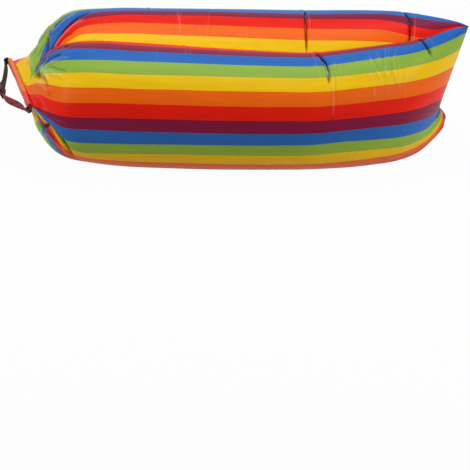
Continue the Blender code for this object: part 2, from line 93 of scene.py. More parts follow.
# The covers: two long bags of coated polyester, striped lengthwise in six colours that mirror each
# other across the middle seam. Each is cut as one panel, rolled into a tube, sewn shut at the prow and
# gathered into the mouth, and air swells it tight.
#
# Each hoop of the pattern: along the crest, along the underside (from the roll's axis), height of the
# top, height of the bottom, distance of the axis from the middle seam, half width.
hoops = {-1: (
    (0.0115, 0.0115, 0.2665, 0.2535, 0.1185, 0.1175),
    (0.030, 0.028, 0.285, 0.212, 0.1180, 0.1420),
    (0.052, 0.048, 0.330, 0.140, 0.1130, 0.1720),
    (0.0735, 0.070, 0.383, 0.098, 0.1150, 0.2000),
    (0.092, 0.089, 0.414, 0.074, 0.1200, 0.2160),
    (0.112, 0.108, 0.440, 0.056, 0.1280, 0.2300),
    (0.150, 0.148, 0.472, 0.031, 0.1440, 0.2420),
    (0.205, 0.205, 0.497, 0.012, 0.1580, 0.2480),
), 1: (
    (0.0115, 0.0115, 0.2665, 0.2535, 0.1185, 0.1175),
    (0.030, 0.028, 0.280, 0.226, 0.1220, 0.1420),
    (0.052, 0.048, 0.300, 0.160, 0.1180, 0.1600),
    (0.0735, 0.070, 0.324, 0.112, 0.1140, 0.1780),
    (0.092, 0.088, 0.354, 0.086, 0.1150, 0.1920),
    (0.112, 0.108, 0.392, 0.064, 0.1200, 0.2050),
    (0.135, 0.131, 0.430, 0.045, 0.1300, 0.2170),
    (0.160, 0.158, 0.464, 0.029, 0.1420, 0.2290),
    (0.205, 0.205, 0.497, 0.012, 0.1540, 0.2400),
    (0.255, 0.255, 0.508, 0.006, 0.1600, 0.2450),
)}
tube_hoops = (
    (0.328, 0.328, 0.507, 0.003, 0.1680, 0.2500),
    (0.450, 0.450, 0.506, 0.001, 0.1840, 0.2510),
    (0.530, 0.530, 0.503, 0.000, 0.1860, 0.2510),
    (0.740, 0.740, 0.495, 0.001, 0.2030, 0.2500),
    (0.943, 0.943, 0.489, 0.004, 0.2160, 0.2460),
    (1.147, 1.147, 0.484, 0.007, 0.2254, 0.2410),
    (1.215, 1.212, 0.486, 0.007, 0.2200, 0.2380),
    (1.370, 1.350, 0.501, 0.005, 0.1986, 0.2220),
    (1.487, 1.450, 0.512, 0.006, 0.1790, 0.2030),
    (1.575, 1.535, 0.520, 0.006, 0.1590, 0.1780),
    (1.635, 1.600, 0.526, 0.009, 0.1290, 0.1500),
    (1.708, 1.658, 0.535, 0.018, 0.0840, 0.1080),
    (1.776, 1.688, 0.541, 0.038, 0.0410, 0.0640),
    (1.822, 1.698, 0.541, 0.056, 0.0120, 0.0220),
    (1.834, 1.700, 0.536, 0.062, 0.0070, 0.0065),
)
# Where each line of the cloth lies on a hoop. The top row is an angle round the full tube, from the
# crest out and down, at the seams and the edges of the stripes. Each row below it starts with its
# distance along the crest and gives each line's share of the hoop's girth.
cloth_lines = np.array((-120, -50, -36, -21.6, -7.3, 7, 21.3, 35.5, 49.8, 64.1, 78.4, 92.7, 107, 121.2,
                        160, 200, 240), float)
gathers = {-1: (
    (0.0115, -0.333, -0.262, -0.261, -0.260, -0.259, -0.258, -0.257, -0.255, -0.235, 0.005, 0.235, 0.241,
     0.248, 0.254, 0.262, 0.275, 0.667),
    (0.030, -0.325, -0.262, -0.256, -0.250, -0.244, -0.238, -0.230, -0.216, -0.060, 0.090, 0.228, 0.250,
     0.262, 0.270, 0.280, 0.300, 0.680),
    (0.048, -0.322, -0.240, -0.232, -0.224, -0.214, -0.202, -0.186, -0.165, 0.030, 0.135, 0.232, 0.250,
     0.262, 0.268, 0.288, 0.362, 0.682),
    (0.056, -0.322, -0.170, -0.162, -0.154, -0.140, -0.122, -0.090, -0.015, 0.065, 0.150, 0.232, 0.256,
     0.272, 0.277, 0.291, 0.372, 0.682),
    (0.068, -0.322, -0.150, -0.142, -0.134, -0.116, -0.072, -0.030, 0.045, 0.105, 0.178, 0.235, 0.262,
     0.284, 0.287, 0.295, 0.388, 0.682),
    (0.090, -0.331, -0.145, -0.134, -0.122, -0.104, -0.040, 0.015, 0.082, 0.136, 0.194, 0.240, 0.268,
     0.290, 0.296, 0.312, 0.405, 0.674),
    (0.125, -0.333, -0.142, -0.128, -0.112, -0.088, -0.020, 0.046, 0.102, 0.150, 0.200, 0.242, 0.279,
     0.316, 0.326, 0.343, 0.435, 0.667),
    (0.160, -0.333, -0.140, -0.118, -0.094, -0.060, -0.002, 0.056, 0.105, 0.152, 0.198, 0.240, 0.276,
     0.322, 0.352, 0.385, 0.485, 0.667),
    (0.210, -0.333, -0.139, -0.103, -0.065, -0.028, 0.014, 0.068, 0.109, 0.155, 0.197, 0.239, 0.272,
     0.320, 0.366, 0.440, 0.550, 0.667),
    (0.420, -0.333, -0.139, -0.100, -0.058, -0.013, 0.023, 0.066, 0.109, 0.149, 0.188, 0.227, 0.264,
     0.303, 0.340, 0.444, 0.556, 0.667),
    (0.700, -0.333, -0.139, -0.100, -0.060, -0.018, 0.015, 0.058, 0.099, 0.141, 0.182, 0.220, 0.256,
     0.292, 0.326, 0.444, 0.556, 0.667),
    (1.120, -0.333, -0.139, -0.104, -0.068, -0.034, 0.003, 0.048, 0.090, 0.133, 0.174, 0.212, 0.249,
     0.284, 0.322, 0.446, 0.556, 0.667),
    (1.310, -0.333, -0.139, -0.102, -0.065, -0.028, -0.001, 0.047, 0.092, 0.134, 0.175, 0.215, 0.249,
     0.283, 0.321, 0.448, 0.550, 0.667),
    (1.480, -0.330, -0.135, -0.100, -0.065, -0.030, -0.002, 0.047, 0.094, 0.135, 0.178, 0.221, 0.257,
     0.299, 0.335, 0.450, 0.540, 0.670),
    (1.615, -0.325, -0.115, -0.084, -0.050, -0.022, 0.014, 0.050, 0.092, 0.139, 0.186, 0.230, 0.274,
     0.320, 0.365, 0.445, 0.520, 0.675),
    (1.722, -0.320, -0.085, -0.060, -0.035, -0.020, -0.004, 0.050, 0.103, 0.156, 0.212, 0.262, 0.312,
     0.362, 0.395, 0.440, 0.505, 0.680),
), 1: (
    (0.0115, -0.333, -0.262, -0.261, -0.260, -0.259, -0.258, -0.257, -0.255, 0.150, 0.195, 0.225, 0.234,
     0.240, 0.248, 0.256, 0.270, 0.667),
    (0.030, -0.330, -0.258, -0.256, -0.254, -0.252, -0.250, -0.248, -0.245, 0.145, 0.185, 0.212, 0.228,
     0.238, 0.247, 0.260, 0.282, 0.672),
    (0.046, -0.320, -0.240, -0.236, -0.232, -0.228, -0.224, -0.218, -0.205, 0.140, 0.175, 0.200, 0.222,
     0.236, 0.250, 0.270, 0.300, 0.680),
    (0.060, -0.315, -0.238, -0.236, -0.232, -0.228, -0.222, -0.200, 0.075, 0.170, 0.190, 0.206, 0.224,
     0.242, 0.256, 0.280, 0.315, 0.684),
    (0.075, -0.318, -0.170, -0.160, -0.150, -0.140, -0.128, -0.090, 0.185, 0.200, 0.215, 0.226, 0.236,
     0.250, 0.268, 0.300, 0.350, 0.682),
    (0.092, -0.322, -0.142, -0.130, -0.119, -0.106, -0.090, -0.036, 0.200, 0.214, 0.226, 0.236, 0.246,
     0.262, 0.284, 0.318, 0.385, 0.678),
    (0.112, -0.326, -0.130, -0.120, -0.108, -0.094, -0.077, -0.008, 0.192, 0.206, 0.219, 0.232, 0.248,
     0.272, 0.302, 0.345, 0.430, 0.675),
    (0.145, -0.330, -0.122, -0.111, -0.095, -0.078, -0.065, 0.028, 0.160, 0.180, 0.200, 0.220, 0.245,
     0.280, 0.316, 0.380, 0.480, 0.671),
    (0.185, -0.332, -0.118, -0.106, -0.087, -0.063, -0.040, 0.026, 0.124, 0.148, 0.175, 0.206, 0.246,
     0.288, 0.326, 0.415, 0.525, 0.668),
    (0.245, -0.333, -0.120, -0.086, -0.062, -0.034, -0.009, 0.029, 0.074, 0.116, 0.160, 0.205, 0.250,
     0.292, 0.333, 0.440, 0.550, 0.667),
    (0.330, -0.333, -0.124, -0.089, -0.053, -0.018, 0.010, 0.045, 0.088, 0.130, 0.172, 0.213, 0.254,
     0.295, 0.335, 0.442, 0.553, 0.667),
    (0.455, -0.333, -0.128, -0.090, -0.050, -0.014, 0.014, 0.055, 0.098, 0.138, 0.178, 0.218, 0.258,
     0.297, 0.337, 0.444, 0.556, 0.667),
    (0.745, -0.333, -0.134, -0.096, -0.057, -0.014, 0.018, 0.057, 0.098, 0.138, 0.178, 0.218, 0.258,
     0.297, 0.337, 0.444, 0.556, 0.667),
    (1.160, -0.333, -0.146, -0.108, -0.068, -0.026, 0.003, 0.045, 0.088, 0.130, 0.172, 0.214, 0.255,
     0.296, 0.336, 0.448, 0.556, 0.667),
    (1.340, -0.333, -0.146, -0.108, -0.072, -0.029, -0.001, 0.045, 0.090, 0.132, 0.174, 0.216, 0.257,
     0.297, 0.337, 0.450, 0.550, 0.667),
    (1.505, -0.330, -0.148, -0.112, -0.072, -0.034, -0.003, 0.045, 0.092, 0.136, 0.180, 0.224, 0.265,
     0.302, 0.340, 0.452, 0.540, 0.670),
    (1.625, -0.325, -0.140, -0.118, -0.095, -0.058, -0.022, 0.040, 0.090, 0.139, 0.186, 0.232, 0.278,
     0.322, 0.365, 0.445, 0.520, 0.675),
    (1.726, -0.320, -0.110, -0.098, -0.080, -0.056, -0.020, 0.045, 0.103, 0.156, 0.212, 0.262, 0.312,
     0.362, 0.395, 0.440, 0.505, 0.680),
)}
end_gathers = (
    (1.785, -0.310, -0.055, -0.044, -0.032, -0.020, -0.009, 0.041, 0.098, 0.158, 0.220, 0.275, 0.335,
     0.370, 0.388, 0.420, 0.470, 0.690),
    (1.834, -0.300, -0.022, -0.018, -0.015, -0.010, -0.004, 0.026, 0.095, 0.170, 0.250, 0.333, 0.366,
     0.372, 0.377, 0.388, 0.420, 0.700),
)
cloth_start, cloth_end = 0.0115, 1.834  # distances of the cloth's two ends from the roll's axis
seam_gap = 0.0008  # from the middle plane to each tube
floor_gap = 0.0004
floor_flat = 0.0075  # how far the floor presses a tube flat
pouch_swell = 0.044  # how far the underside bulges past the foot of the prow's seam
pouch_start, pouch_reach = 1.60, 0.20  # where the bulge begins, and over what length it grows
pinch_height = 0.23  # of that foot, as a share of the tube's height
mouth_skew = math.radians(6.2)  # the roll isn't quite square to the tubes
skew_start, skew_reach = 0.0075, 0.29  # up to where that skew is whole, and over what length it fades
hoop_easing = 0.05  # how far along a tube the steps from hoop to hoop are rounded
hoop_points = 721
rows, columns = 236, 104
seam_turn, crest_stripe_end, stripe_turn = -120, 7.0, 14.28  # angles round the full tube


def eased(table, stations, reach):
    """The columns of a table at stations along its first column, rounded off within reach."""
    fine = np.linspace(table[0, 0], table[-1, 0], 2400)
    step = fine[1] - fine[0]
    half = np.interp(fine, table[:, 0], np.minimum.reduce([
        np.full(len(table), reach), 0.45 * np.gradient(table[:, 0])])) / step
    made = [fine]
    for k in range(1, table.shape[1]):
        line = np.interp(fine, table[:, 0], table[:, k])
        total = np.concatenate([[0.0], np.cumsum(line)])
        where = np.arange(len(fine))
        for _ in range(2):
            low = np.clip(where - half, 0, None)
            high = np.clip(where + half + 1, None, len(fine))
            spread = np.minimum(where - low, high - 1 - where)
            low, high = where - spread, where + spread + 1
            line = (np.interp(high, np.arange(len(fine) + 1), total)
                    - np.interp(low, np.arange(len(fine) + 1), total)) / (high - low)
            total = np.concatenate([[0.0], np.cumsum(line)])
        made.append(line)
    return np.stack([np.interp(stations, fine, line) for line in made], 1)


# Rows of the cloth lie closer at the neck, at the creases and towards the prow.
closeness = np.array(((cloth_start, 2.8), (0.20, 2.2), (0.34, 1.0), (1.10, 1.0), (1.16, 2.8), (1.26, 2.8),
                      (1.30, 1.2), (1.50, 1.4), (1.57, 2.6), (1.64, 2.6), (cloth_end, 2.6)))
walk = np.linspace(cloth_start, cloth_end, 4000)
crowd = np.concatenate([[0.0], np.cumsum(np.interp(walk, closeness[:, 0], closeness[:, 1]))])[:-1]
stations = np.interp(np.linspace(0, crowd[-1], rows + 1), crowd, walk)


def laid_lines(side):
    """How far round its hoop each line of the cloth lies, for every row."""
    return eased(np.array(gathers[side] + end_gathers), stations, hoop_easing)[:, 1:]


def panel(side):
    """The places of the cloth's points on one tube, row by row from the mouth to the prow, and the angle
    of the cloth that lies at each."""
    pattern = eased(np.array(hoops[side] + tube_hoops), stations, hoop_easing)
    lines = laid_lines(side)
    angles = np.radians(np.linspace(-180, 180, hoop_points))
    made = np.zeros((rows + 1, columns + 1, 3))
    cloth = np.zeros((rows + 1, columns + 1))
    for row in range(rows + 1):
        crest, under, top, bottom, axis, width = pattern[row]
        middle, half = (top + bottom) / 2, (top - bottom) / 2
        sink = max(0.0, floor_flat - bottom) / 2
        out = np.maximum(axis + width * np.sin(angles), seam_gap)
        height = np.maximum(middle - sink + (half + sink) * np.cos(angles), floor_gap)
        share = (height - bottom) / (top - bottom)
        swell = pouch_swell * np.clip((crest - pouch_start) / pouch_reach, 0, 1) ** 2
        pouch = swell * np.sin(math.pi * np.clip(share, 0, 1) / pinch_height)
        along = under + share * (crest - under) + np.where(share < pinch_height, pouch, 0)
        place = np.stack([along, out, height], 1)
        length = np.concatenate([[0.0], np.cumsum(np.linalg.norm(np.diff(place, axis=0), axis=1))])
        around = length / length[-1] - np.interp(0.0, angles, length / length[-1])
        shares = lines[row, 0] + np.linspace(0, 1, columns + 1)
        cloth[row] = np.interp(shares, lines[row], cloth_lines)
        wanted = (shares - around[0]) % 1.0 + around[0]
        for k in range(3):
            made[row, :, k] = np.interp(wanted, around, place[:, k])
    # Where the mouth pinches the cloth, narrow tucks over the crest pull the stripes' edges to and fro.
    pinch, pinch_reach, tuck_shift = 0.118, 0.040, 0.040
    pinched = np.exp(-((stations - pinch) / pinch_reach) ** 2)
    chance = random.Random(7 + side)
    for column in range(17, 34 if side < 0 else 21):
        tuck = (-1) ** column * chance.uniform(0.3, 1.0)
        cloth[:, column] = np.interp(stations - tuck_shift * tuck * pinched, stations, cloth[:, column])
    cloth[:, 0], cloth[:, -1] = seam_turn, seam_turn + 360
    fade = np.clip(1 - (made[..., 0] - skew_start) / skew_reach, 0, 1) ** 2
    made[..., 0] += roll_middle.x - math.tan(mouth_skew) * side * made[..., 1] * fade
    made[..., 1] *= side
    return made, cloth


# Places on the cloth are a distance from the mouth in metres and an angle round the full tube. A fold
# line is its half width, its depth (below zero it stands up as a ridge) and the places it runs through.
#
# Sharp folds across both tubes where the cloth buckles towards the raised prow.
creases = {-1: (
    (0.014, 0.009, (1.194, -10), (1.201, 4), (1.222, 17), (1.230, 28), (1.232, 44)),
    (0.005, 0.012, (1.194, -10), (1.201, 4), (1.222, 17), (1.230, 28), (1.231, 40)),
    (0.012, 0.007, (1.612, -8), (1.630, 6), (1.650, 19), (1.676, 32)),
    (0.005, 0.009, (1.612, -8), (1.630, 6), (1.650, 19), (1.674, 29)),
), 1: (
    (0.012, 0.007, (1.190, 24), (1.180, -8), (1.178, -30), (1.178, -52)),
    (0.005, 0.010, (1.190, 22), (1.180, -8), (1.178, -30), (1.178, -50)),
    (0.013, 0.008, (1.585, 22), (1.604, -4), (1.604, -26), (1.600, -44)),
    (0.005, 0.010, (1.586, 20), (1.604, -4), (1.604, -26), (1.600, -42)),
)}
# Puckers on the outer and on the inner side of a tube, at and between the creases.
outer_puckers = (
    (0.016, -0.0020, (1.176, -4), (1.182, 20), (1.200, 42)),
    (0.008, -0.0040, (1.247, 24), (1.246, 44), (1.248, 76)),
    (0.010, -0.0030, (1.256, 12), (1.262, 30), (1.274, 46)),
    (0.006, 0.0024, (1.258, 34), (1.258, 62)),
    (0.013, -0.0024, (1.648, 2), (1.672, 16), (1.694, 30)),
    (0.008, -0.0040, (1.398, 14), (1.426, 30), (1.462, 50)),
    (0.007, -0.0036, (1.436, 10), (1.452, 28), (1.484, 44)),
    (0.007, -0.0042, (1.474, 6), (1.470, 26), (1.478, 46)),
    (0.007, -0.0034, (1.492, 8), (1.482, 24)),
    (0.008, -0.0040, (1.523, 10), (1.506, 25), (1.512, 42), (1.536, 58)),
    (0.006, -0.0030, (1.340, 16), (1.364, 34)),
    (0.007, -0.0034, (1.404, 34), (1.420, 46), (1.424, 62)),
    (0.006, 0.0026, (1.418, 18), (1.444, 36)),
    (0.006, -0.0024, (1.372, 30), (1.384, 52)),
    (0.006, -0.0018, (1.560, 26), (1.552, 50), (1.560, 72)),
    (0.006, 0.0020, (1.458, 12), (1.462, 40)),
    (0.006, 0.0020, (1.500, 14), (1.496, 44)),
    (0.007, 0.0040, (0.556, -16), (0.552, 4)),
    (0.007, -0.0024, (0.546, -6), (0.536, 8), (0.522, 26)),
    (0.006, -0.0016, (0.462, 23), (0.450, 38), (0.462, 56)),
    (0.005, -0.0014, (0.534, 26), (0.522, 48)),
    (0.006, -0.0016, (0.833, 26), (0.824, 48)),
    (0.006, -0.0014, (0.713, 16), (0.725, 32)),
    (0.006, -0.0018, (0.169, 30), (0.172, 44), (0.160, 60)),
    (0.006, -0.0018, (0.320, 42), (0.332, 64)),
    (0.012, 0.0030, (1.834, 88), (1.756, 84), (1.660, 74)),
    (0.012, -0.0030, (1.834, 92), (1.760, 92), (1.640, 86)),
    (0.010, 0.0026, (1.834, 98), (1.766, 100), (1.680, 98)),
    (0.007, 0.0026, (1.830, 12), (1.802, 18), (1.764, 20)),
    (0.007, -0.0022, (1.830, 22), (1.796, 28), (1.750, 30)),
)
inner_puckers = (
    (0.008, -0.0030, (0.653, 14), (0.654, -16), (0.668, -38)),
    (0.008, -0.0030, (0.676, 14), (0.658, -20), (0.644, -44)),
    (0.008, -0.0026, (0.797, 10), (0.776, -18), (0.764, -42)),
    (0.007, -0.0022, (0.320, -16), (0.332, -46)),
    (0.007, -0.0022, (0.344, -12), (0.366, -42)),
    (0.010, -0.0030, (1.200, 20), (1.196, -30)),
    (0.010, -0.0034, (1.626, 14), (1.624, -30)),
    (0.006, -0.0016, (0.940, -10), (0.932, -44)),
    (0.006, -0.0014, (1.050, -14), (1.060, -40)),
    (0.006, -0.0016, (1.400, -8), (1.396, -36)),
)
# Folds that run out of the gathered mouth, on the near and on the far tube. Their angles are round the
# hoop itself, since the cloth is bunched there.
neck_folds = {-1: (
    (0.010, 0.0140, (0.048, -34), (0.058, -10), (0.060, 9)),
    (0.012, -0.0080, (0.066, -8), (0.074, 12), (0.088, 42)),
    (0.010, 0.0060, (0.063, 8), (0.071, 28), (0.080, 50)),
    (0.014, 0.0110, (0.070, -14), (0.096, 0), (0.150, 7)),
    (0.014, -0.0070, (0.085, 8), (0.120, 14), (0.180, 18)),
    (0.009, 0.0080, (0.098, -17), (0.142, -11), (0.190, -6)),
    (0.010, -0.0060, (0.098, -8), (0.145, -2), (0.195, 0)),
    (0.012, 0.0080, (0.016, -85), (0.036, -66), (0.056, -50)),
    (0.012, -0.0070, (0.048, 14), (0.062, 34), (0.076, 58)),
    (0.010, -0.0060, (0.046, -24), (0.018, -15)),
    (0.014, -0.0060, (0.076, 18), (0.112, 36), (0.155, 46)),
    (0.010, 0.0050, (0.090, 16), (0.125, 30), (0.160, 36)),
    (0.010, 0.0030, (0.062, 36), (0.074, 50), (0.086, 66)),
    (0.014, -0.0018, (0.030, 40), (0.050, 60), (0.066, 84)),
    (0.016, -0.0018, (0.036, 84), (0.086, 94), (0.160, 93)),
    (0.014, 0.0150, (0.030, 150), (0.077, 104), (0.142, 117), (0.200, 140)),
    (0.016, -0.0090, (0.030, 166), (0.085, 122), (0.150, 133), (0.210, 152)),
    (0.012, 0.0060, (0.040, 190), (0.095, 148), (0.160, 154)),
), 1: (
    (0.013, 0.0200, (0.116, -34), (0.137, -25), (0.160, -21), (0.195, -16), (0.235, -6), (0.292, 4)),
    (0.010, 0.0110, (0.110, -28), (0.118, -8), (0.123, 12)),
    (0.014, -0.0110, (0.123, 12), (0.153, -5), (0.203, -1), (0.256, 7)),
    (0.010, 0.0110, (0.125, 13), (0.164, 0), (0.192, 18)),
    (0.010, 0.0100, (0.072, 16), (0.096, 38), (0.127, 20), (0.164, 12), (0.195, 22)),
    (0.014, -0.0090, (0.080, 30), (0.110, 40), (0.150, 26)),
    (0.012, -0.0090, (0.130, -33), (0.164, -27), (0.215, -18), (0.264, -11)),
    (0.009, 0.0060, (0.140, -35), (0.175, -29), (0.223, -27)),
    (0.009, 0.0050, (0.195, -26), (0.240, -20), (0.290, -14)),
    (0.010, 0.0070, (0.080, -6), (0.105, 4), (0.124, -2)),
    (0.014, 0.0120, (0.070, -30), (0.090, -22)),
    (0.010, -0.0060, (0.050, 20), (0.060, -4), (0.062, -30)),
    (0.016, 0.0090, (0.030, 150), (0.080, 110), (0.150, 117)),
    (0.016, -0.0080, (0.030, 166), (0.085, 124), (0.160, 133)),
)}


def off_line(line, along, angle):
    """How far places on the cloth are from a line drawn on it, and their share of its length."""
    at = np.stack([along, 0.25 * np.radians(angle)], 1)
    ends = np.array([(distance, 0.25 * math.radians(turn)) for distance, turn in line])
    runs = np.linalg.norm(np.diff(ends, axis=0), axis=1)
    nearest = np.full(len(at), 9.0)
    share = np.zeros(len(at))
    passed = 0.0
    for start, end, run in zip(ends[:-1], ends[1:], runs):
        part = np.clip((at - start) @ (end - start) / run ** 2, 0, 1)
        off = np.linalg.norm(at - start - part[:, None] * (end - start), axis=1)
        closer = off < nearest
        nearest = np.where(closer, off, nearest)
        share = np.where(closer, (passed + part * run) / runs.sum(), share)
        passed += run
    return nearest, share


def points_of(mesh):
    """The places of a mesh's points, one row each."""
    flat = np.zeros(len(mesh.vertices) * 3)
    mesh.vertices.foreach_get("co", flat)
    return flat.reshape(-1, 3)


def normals_of(mesh):
    """The way the surface faces at each of a mesh's points."""
    flat = np.zeros(len(mesh.vertices) * 3)
    mesh.vertex_normals.foreach_get("vector", flat)
    return flat.reshape(-1, 3)


def corners_of(mesh):
    """The point at each corner of a mesh's faces, in the order in which its UV map runs."""
    corners = np.zeros(len(mesh.loops), int)
    mesh.loops.foreach_get("vertex_index", corners)
    return corners


def cloth_places(mesh):
    """Where each point lies on the cloth: its distance from the mouth and its angle round the tube."""
    corners = corners_of(mesh)
    drawn = np.zeros(len(mesh.loops) * 2)
    mesh.uv_layers["UVMap"].data.foreach_get("uv", drawn)
    along, turn = np.zeros(len(mesh.vertices)), np.zeros(len(mesh.vertices))
    np.maximum.at(along, corners, drawn[0::2])
    np.maximum.at(turn, corners, drawn[1::2])
    return along, seam_turn + 360 * turn


def hoop_angles(side, along, angle):
    """The angle round its hoop at which each place on the cloth lies."""
    steps_per_degree = 2
    every = np.linspace(seam_turn, seam_turn + 360, 360 * steps_per_degree + 1)
    shares = np.array([np.interp(every, cloth_lines, line) for line in laid_lines(side)])
    row = np.interp(along, stations, np.arange(rows + 1))
    above = np.minimum(row.astype(int), rows - 1)
    column = np.rint((angle - seam_turn) * steps_per_degree).astype(int)
    part = row - above
    return 360 * ((1 - part) * shares[above, column] + part * shares[above + 1, column])


def sewn_tube(name, places, distances, turns):
    """A grid of cloth laid on its tube, closed along its own seam and at both ends."""
    rows_laid, columns_laid = len(places) - 1, len(places[0]) - 1
    bpy.ops.mesh.primitive_grid_add(x_subdivisions=rows_laid, y_subdivisions=columns_laid, size=1.0)
    tube = bpy.context.object
    tube.name = name
    mesh = tube.data
    flat = points_of(mesh)
    row = np.rint((flat[:, 0] + 0.5) * rows_laid).astype(int)
    column = np.rint((flat[:, 1] + 0.5) * columns_laid).astype(int)
    mesh.vertices.foreach_set("co", places[row, column].ravel())
    corners = corners_of(mesh)
    drawn = np.stack([distances[row[corners]], (turns[row[corners], column[corners]] - seam_turn) / 360], 1)
    mesh.uv_layers["UVMap"].data.foreach_set("uv", drawn.ravel())
    mesh.attributes.new("row", "INT", "POINT").data.foreach_set("value", row)
    mesh.attributes.new("column", "INT", "POINT").data.foreach_set("value", column)
    bpy.ops.object.mode_set(mode="EDIT")
    shape = bmesh.from_edit_mesh(mesh)
    shape.verts.ensure_lookup_table()
    for vert in shape.verts:
        vert.select = column[vert.index] in (0, columns_laid)
    shape.select_flush_mode()
    bmesh.update_edit_mesh(mesh)
    bpy.ops.mesh.remove_doubles(threshold=0.00002)
    bpy.ops.mesh.select_mode(type="EDGE")
    for prow_end in (False, True):
        bpy.ops.mesh.select_all(action="DESELECT")
        shape = bmesh.from_edit_mesh(mesh)
        for edge in shape.edges:
            if edge.is_boundary and (edge.verts[0].co.x > 0) == prow_end:
                edge.select_set(True)
        bmesh.update_edit_mesh(mesh)
        bpy.ops.mesh.fill(use_beauty=True)
    bpy.ops.mesh.select_all(action="SELECT")
    bpy.ops.mesh.normals_make_consistent(inside=False)
    bpy.ops.mesh.select_mode(type="VERT")
    bpy.ops.object.mode_set(mode="OBJECT")
    for polygon in mesh.polygons:
        polygon.use_smooth = True
    return tube


def inflate(tube, side):
    """Lets air swell the cloth, which is cut fuller at both ends and at the creases, and keeps the puckers
    that this makes but not the even growth."""
    mesh = tube.data
    before = points_of(mesh)
    along, angle = cloth_places(mesh)
    pin_reach = 0.004  # round the creases and the flat that both tubes share
    held = (along < 0.012) | (along > 1.825) | (np.abs(before[:, 1]) < pin_reach)
    for _, _, *line in creases[side]:
        held |= off_line(line, along, angle)[0] < pin_reach
    pins = tube.vertex_groups.new(name="held")
    pins.add(np.flatnonzero(held).tolist(), 1.0, "REPLACE")
    ends = np.exp(-np.maximum(0, along - 0.03) / 0.10) + np.exp(-np.maximum(0, 1.80 - along) / 0.12)
    folds = np.exp(-((along - 1.19) / 0.07) ** 2) + np.exp(-((along - 1.615) / 0.07) ** 2)
    fullness = np.clip(0.30 + ends + 0.8 * folds, 0, 1)
    full = tube.vertex_groups.new(name="full")
    for i, weight in enumerate(fullness):
        full.add([i], float(weight), "REPLACE")
    air = tube.modifiers.new("air", "CLOTH")
    air.settings.quality = 5
    air.settings.mass = 0.15
    air.settings.tension_stiffness = 40
    air.settings.compression_stiffness = 30
    air.settings.shear_stiffness = 12
    air.settings.bending_stiffness = 0.01
    air.settings.tension_damping = 6
    air.settings.compression_damping = 6
    air.settings.shear_damping = 6
    air.settings.air_damping = 2
    air.settings.use_pressure = True
    air.settings.uniform_pressure_force = 2.0
    air.settings.vertex_group_mass = "held"
    air.settings.vertex_group_shrink = "full"
    air.settings.shrink_min = 0.0
    air.settings.shrink_max = -0.08
    air.settings.effector_weights.gravity = 0
    air.collision_settings.use_collision = False
    air.point_cache.frame_start = 1
    air.point_cache.frame_end = 20
    for step in range(air.point_cache.frame_start, air.point_cache.frame_end + 1):
        bpy.context.scene.frame_set(step)
    bpy.context.view_layer.objects.active = tube
    bpy.ops.object.modifier_apply(modifier="air")
    moved = points_of(mesh) - before
    row, column = np.zeros(len(before), np.int32), np.zeros(len(before), np.int32)
    mesh.attributes["row"].data.foreach_get("value", row)
    mesh.attributes["column"].data.foreach_get("value", column)
    column %= columns
    grid = np.zeros((rows + 1, columns, 3))
    grid[row, column] = moved
    swell = grid.copy()
    smoothings = 60
    for _ in range(smoothings):
        swell[1:-1] = (swell[:-2] + 2 * swell[1:-1] + swell[2:]) / 4
        swell = (np.roll(swell, 1, 1) + 2 * swell + np.roll(swell, -1, 1)) / 4
    detail = (grid - swell)[row, column]
    size = np.linalg.norm(detail, axis=1, keepdims=True)
    most = 0.012
    detail = detail * np.minimum(1, most / np.maximum(size, 1e-9))
    settle(mesh, before + detail, side)
    tube.vertex_groups.clear()


def settle(mesh, places, side):
    """Moves a tube's points, none of them past the middle seam or below the floor."""
    places[:, 1] = side * np.maximum(side * places[:, 1], seam_gap)
    places[:, 2] = np.maximum(places[:, 2], floor_gap)
    mesh.vertices.foreach_set("co", places.ravel())
    mesh.update()


